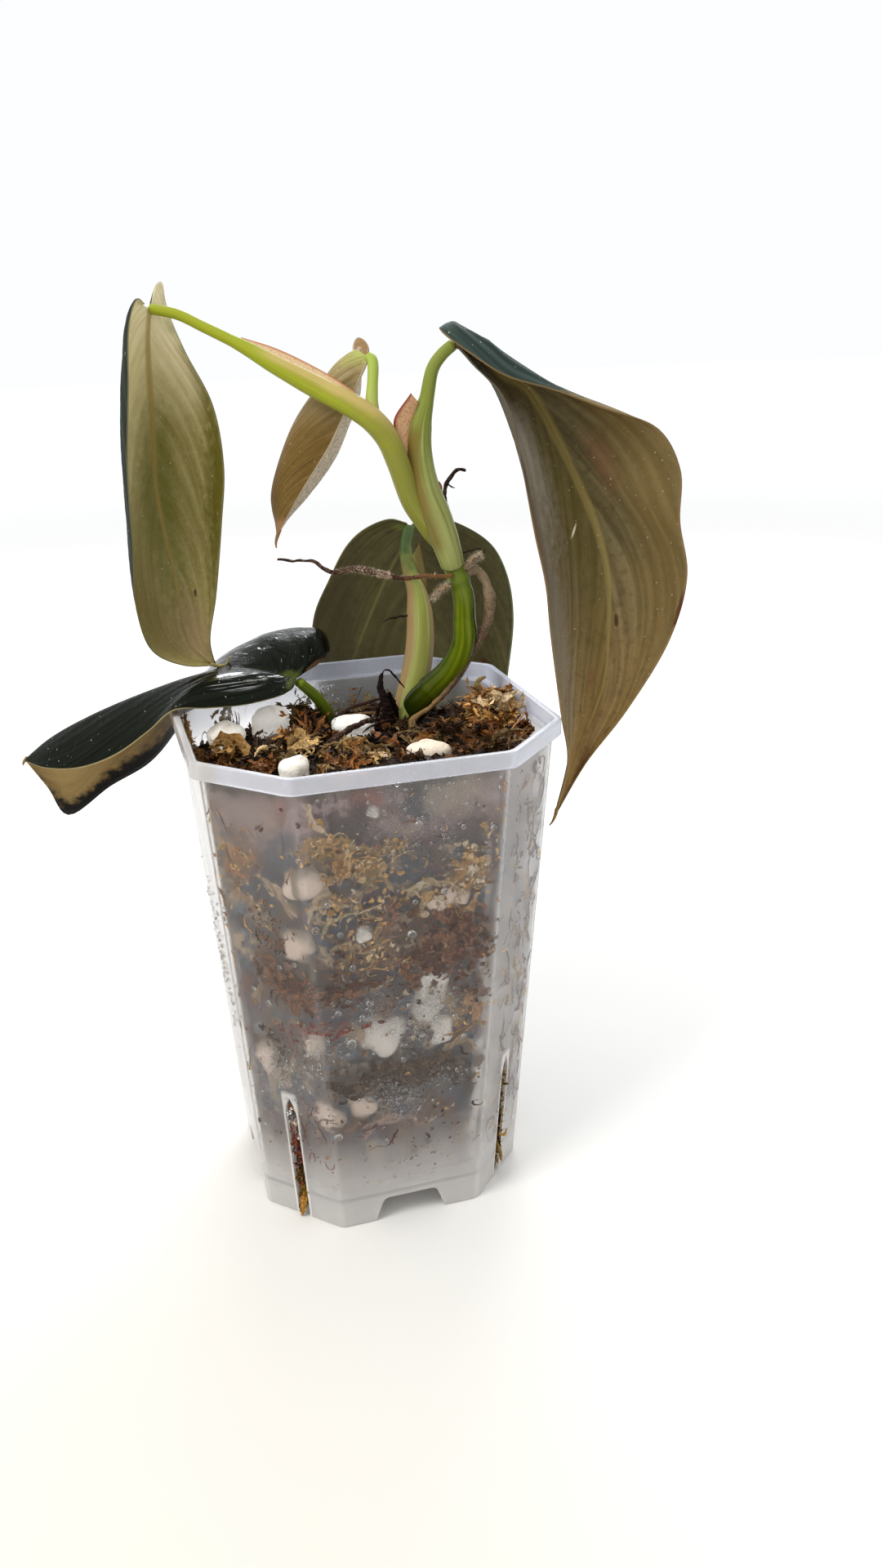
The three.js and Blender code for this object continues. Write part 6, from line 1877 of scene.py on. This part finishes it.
def wall_moss():
    """Moss that clings to the inside of the wall at the left, fills the corner slots and hangs out of one."""
    random = np.random.default_rng(8)
    pile = Pile()
    count = 220
    places = on_wall(4, random.uniform(0.15, 0.42, count), random.uniform(112.5, 118.5, count), WALL + 0.4)
    directions = unit(random.normal(size=(count, 3)) * (0.2, 1, 1))
    sizes = random.uniform(0.8, 2.2, count)
    tones = shades(random, ["#a8814a", "#8a6232", "#c49a5c", "#6b4a24"], count)
    leaflets(pile, random, places, directions, sizes, tones)
    for side, low, high, codes in SLOT_FILL:
        count = int((high - low) * 26)
        radial = out_of_wall(side)
        sideways = np.array([-radial[1], radial[0], 0])
        z = random.uniform(low, high, count)
        half, corner = wall_section(z)
        distance = (2 * half - corner) / math.sqrt(2) - random.uniform(0.4, 2.4, count)
        places = radial * distance[:, None] + sideways * random.uniform(-1.25, 1.25, count)[:, None]
        places[:, 2] = z
        directions = unit(random.normal(size=(count, 3)) * 0.6 + (0, 0, -0.4))
        sizes = random.uniform(0.7, 1.7, count)
        leaflets(pile, random, places, directions, sizes, shades(random, codes, count))
    pile.piece("wall_moss", tinted_material("wall_moss_skin", 0.5), "substrate", smooth_faces=False)
    wisps = Pile()
    for points, width, colour in WISPS:
        path = Curve(points).even(np.linspace(0, 1, 18))
        strands(wisps, random, path[None], np.array([width]), linear(colour)[None], sides=5)
    wisps.piece("slot_wisps", tinted_material("wisp_skin", 0.5), "substrate")


wall_moss()


# Painted light: each stone glows with its own colour, more the two at the left, which lie in the front leaf's
# shade
LEFT_STONES = 2
LEFT_PAINTED_GLOW = 0.3
OTHER_PAINTED_GLOW = 0.12


def pumice(number, middle, half, turn, colour):
    """A knobbly stone on the soil, pale with browner patches and pores."""
    s = Shader(f"pumice_{number}_skin")
    grain, broad = s.noise(1.5, detail=6.0), s.noise(0.3, detail=2.0)
    shade = s.mix(s.band(broad, 0.45, 0.75), colour, s.mix(0.35, colour, "#9a8a70"))
    shade = s.mix(s.band(s.cells(0.9), 0.14, 0.06) * 0.3, shade, "#8d7c66")
    # painted light that lifts the stones out of the shade they lie in
    glow = LEFT_PAINTED_GLOW if number <= LEFT_STONES else OTHER_PAINTED_GLOW
    material = s.done(base_color=shade, roughness=0.85, normal=s.bump(grain, 0.35, 0.7), emission_color=shade,
                      emission_strength=glow)
    points, faces = ball(64, 40)
    x, y, z = points.T
    knob = 1 + 0.1 * np.sin(3 * x + middle[0]) * np.cos(4 * y) + 0.07 * np.sin(5 * z + middle[1])
    knob = knob + 0.02 * waves(points, 0.7, number) - 0.02 * np.abs(waves(points, 0.25, number + 9))
    points = points * knob[:, None] * half
    spin = Matrix.Rotation(math.radians(turn), 3, "Z")
    piece = mesh_object(f"pumice_stone_{number}", points @ np.array(spin).T + middle, faces, [material])
    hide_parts(f"pumice_{number}")


for number, stone in enumerate(PUMICE_STONES, 1):
    pumice(number, *stone)

# Drops of water on the wall: side, part, height, radius
DROPS = [
    (6, 0.17, 53.3, 0.85), (6, 0.29, 63.1, 0.6), (6, 0.53, 79.1, 0.75), (6, 0.04, 83.9, 0.6),
    (6, 0.59, 51.2, 0.75), (6, 0.78, 55.4, 0.55), (6, 0.84, 49.6, 0.5), (6, 0.41, 54.4, 0.5),
    (6, 0.11, 61.9, 0.55), (6, 0.16, 81.8, 0.5), (6, 0.11, 89.5, 0.5), (6, 0.21, 73, 0.5),
    (5, 0.8, 74.4, 0.4), (5, 0.26, 64.9, 0.45), (5, 0.42, 62.1, 0.55), (5, 0.79, 44.8, 0.45),
    (6, 0.7, 88.6, 0.6), (6, 0.47, 46.2, 0.5), (6, 0.04, 27.8, 0.7), (6, 0.35, 23.9, 0.4),
    (5, 0.62, 72.8, 0.4), (6, 0.24, 59.9, 0.35), (6, 0.17, 64.4, 0.4), (6, 0.51, 60.7, 0.45),
    (6, 0.49, 49.9, 0.35), (6, 0.57, 105.5, 0.7), (6, 0.55, 87, 0.45), (6, 0.79, 103.5, 0.45),
    (6, 0.94, 102.4, 0.5), (6, 0.47, 115.4, 0.4),
]


def drops():
    """Single drops, and small ones strewn over the patches of dew."""
    s = Shader("water")
    water = s.done(base_color="#ffffff", roughness=0.0, ior=1.5, transmission_weight=1.0)
    random = np.random.default_rng(4)
    placed = list(DROPS)
    for side, part, z, reach, _ in DEW:
        for _ in range(int(reach * 4)):
            out, lift = random.normal(0, 0.4, 2) * reach
            place = float(np.clip(part + out / 42, 0.04, 0.96))
            placed.append((side, place, float(np.clip(z + lift, 4, 114)), random.uniform(0.12, 0.32)))
    pile = Pile()
    points, faces = ball(10, 7)
    for side, part, z, radius in placed:
        outward = out_of_wall(side)
        flat = points * radius * 1.5
        flat = flat - 0.25 * (flat @ outward)[:, None] * outward
        pile.add(flat + on_wall(side, part, z, -0.02), faces, (1, 1, 1))
    pile.piece("water_drops", water, "frosted")


drops()


# The stage: a pale floor, a white room and soft lights

ROOM_COLOUR = (0.98, 0.99, 1.0)
FLOOR_SIDE = 4000
FLOOR_DROP = 0.05
LAMP_AIM = (0, 0, 110)


def floor():
    s = Shader("floor_cream")
    # painted shade: the floor turns warmer and darker towards the left and front
    tone = s.mix(s.band(s.dot((-0.8, -0.6, 0)), -60, 200), "#ecebe8", "#e2dcd0")
    far = s.band(s.vector("LENGTH", s.place, output="Value"), 400, 1600)
    material = s.done(base_color=s.mix(far, tone, "#000000"), roughness=0.7, specular_ior_level=0.1,
                      emission_color=(*ROOM_COLOUR, 1), emission_strength=far)
    corners = np.array([(-1, -1, 0), (1, -1, 0), (1, 1, 0), (-1, 1, 0)]) * FLOOR_SIDE - (0, 0, FLOOR_DROP)
    mesh = bpy.data.meshes.new("floor")
    mesh.from_pydata((corners * METRE).tolist(), [], [(0, 1, 2, 3)])
    mesh.materials.append(material)
    piece = bpy.data.objects.new("floor", mesh)
    bpy.context.scene.collection.objects.link(piece)


def room():
    """A white room, plain white to the camera, but brighter at the back as a light."""
    world = bpy.data.worlds.new("room")
    world.use_nodes = True
    tree = world.node_tree
    sky = tree.nodes["Background"]
    sky.inputs["Color"].default_value = (*ROOM_COLOUR, 1)
    direction = tree.nodes.new("ShaderNodeTexCoord").outputs["Generated"]
    split = tree.nodes.new("ShaderNodeSeparateXYZ")
    tree.links.new(direction, split.inputs[0])
    glow = tree.nodes.new("ShaderNodeMapRange")
    for key, value in (("From Min", -0.9), ("From Max", 0.3), ("To Min", 0.85), ("To Max", 1.08)):
        glow.inputs[key].default_value = value
    tree.links.new(split.outputs["Y"], glow.inputs["Value"])
    seen = tree.nodes.new("ShaderNodeLightPath").outputs["Is Camera Ray"]
    pick = tree.nodes.new("ShaderNodeMix")
    pick.inputs["B"].default_value = 1.0
    tree.links.new(seen, pick.inputs["Factor"])
    tree.links.new(glow.outputs[0], pick.inputs["A"])
    tree.links.new(pick.outputs["Result"], sky.inputs["Strength"])
    bpy.context.scene.world = world


def lamp(name, at, size, power, colour):
    """A soft light that looks at the plant."""
    light = bpy.data.lights.new(name, "AREA")
    light.shape = "RECTANGLE"
    light.size, light.size_y = size[0] * METRE, size[1] * METRE
    light.energy = power
    light.color = colour
    piece = bpy.data.objects.new(name, light)
    piece.location = Vector(at) * METRE
    piece.rotation_euler = (Vector(LAMP_AIM) - Vector(at)).to_track_quat("-Z", "Y").to_euler()
    bpy.context.scene.collection.objects.link(piece)


def camera():
    data = bpy.data.cameras.new("camera")
    data.lens = LENS
    data.sensor_width = SENSOR
    data.clip_start = 0.01
    piece = bpy.data.objects.new("camera", data)
    turn = (Matrix.Rotation(math.radians(CAMERA_YAW), 4, "Z")
            @ Matrix.Rotation(math.radians(90 - CAMERA_PITCH), 4, "X")
            @ Matrix.Rotation(math.radians(CAMERA_ROLL), 4, "Z"))
    piece.matrix_world = Matrix.Translation(Vector(CAMERA_AT) * METRE) @ turn
    bpy.context.scene.collection.objects.link(piece)
    bpy.context.scene.camera = piece


floor()
room()
lamp("window_light", (-500, -250, 700), (280, 280), 3.5, (1.0, 0.99, 0.97))
lamp("back_light", (200, 600, 600), (500, 400), 3, (0.95, 0.97, 1.0))
camera()
bpy.context.scene.view_settings.view_transform = "Standard"
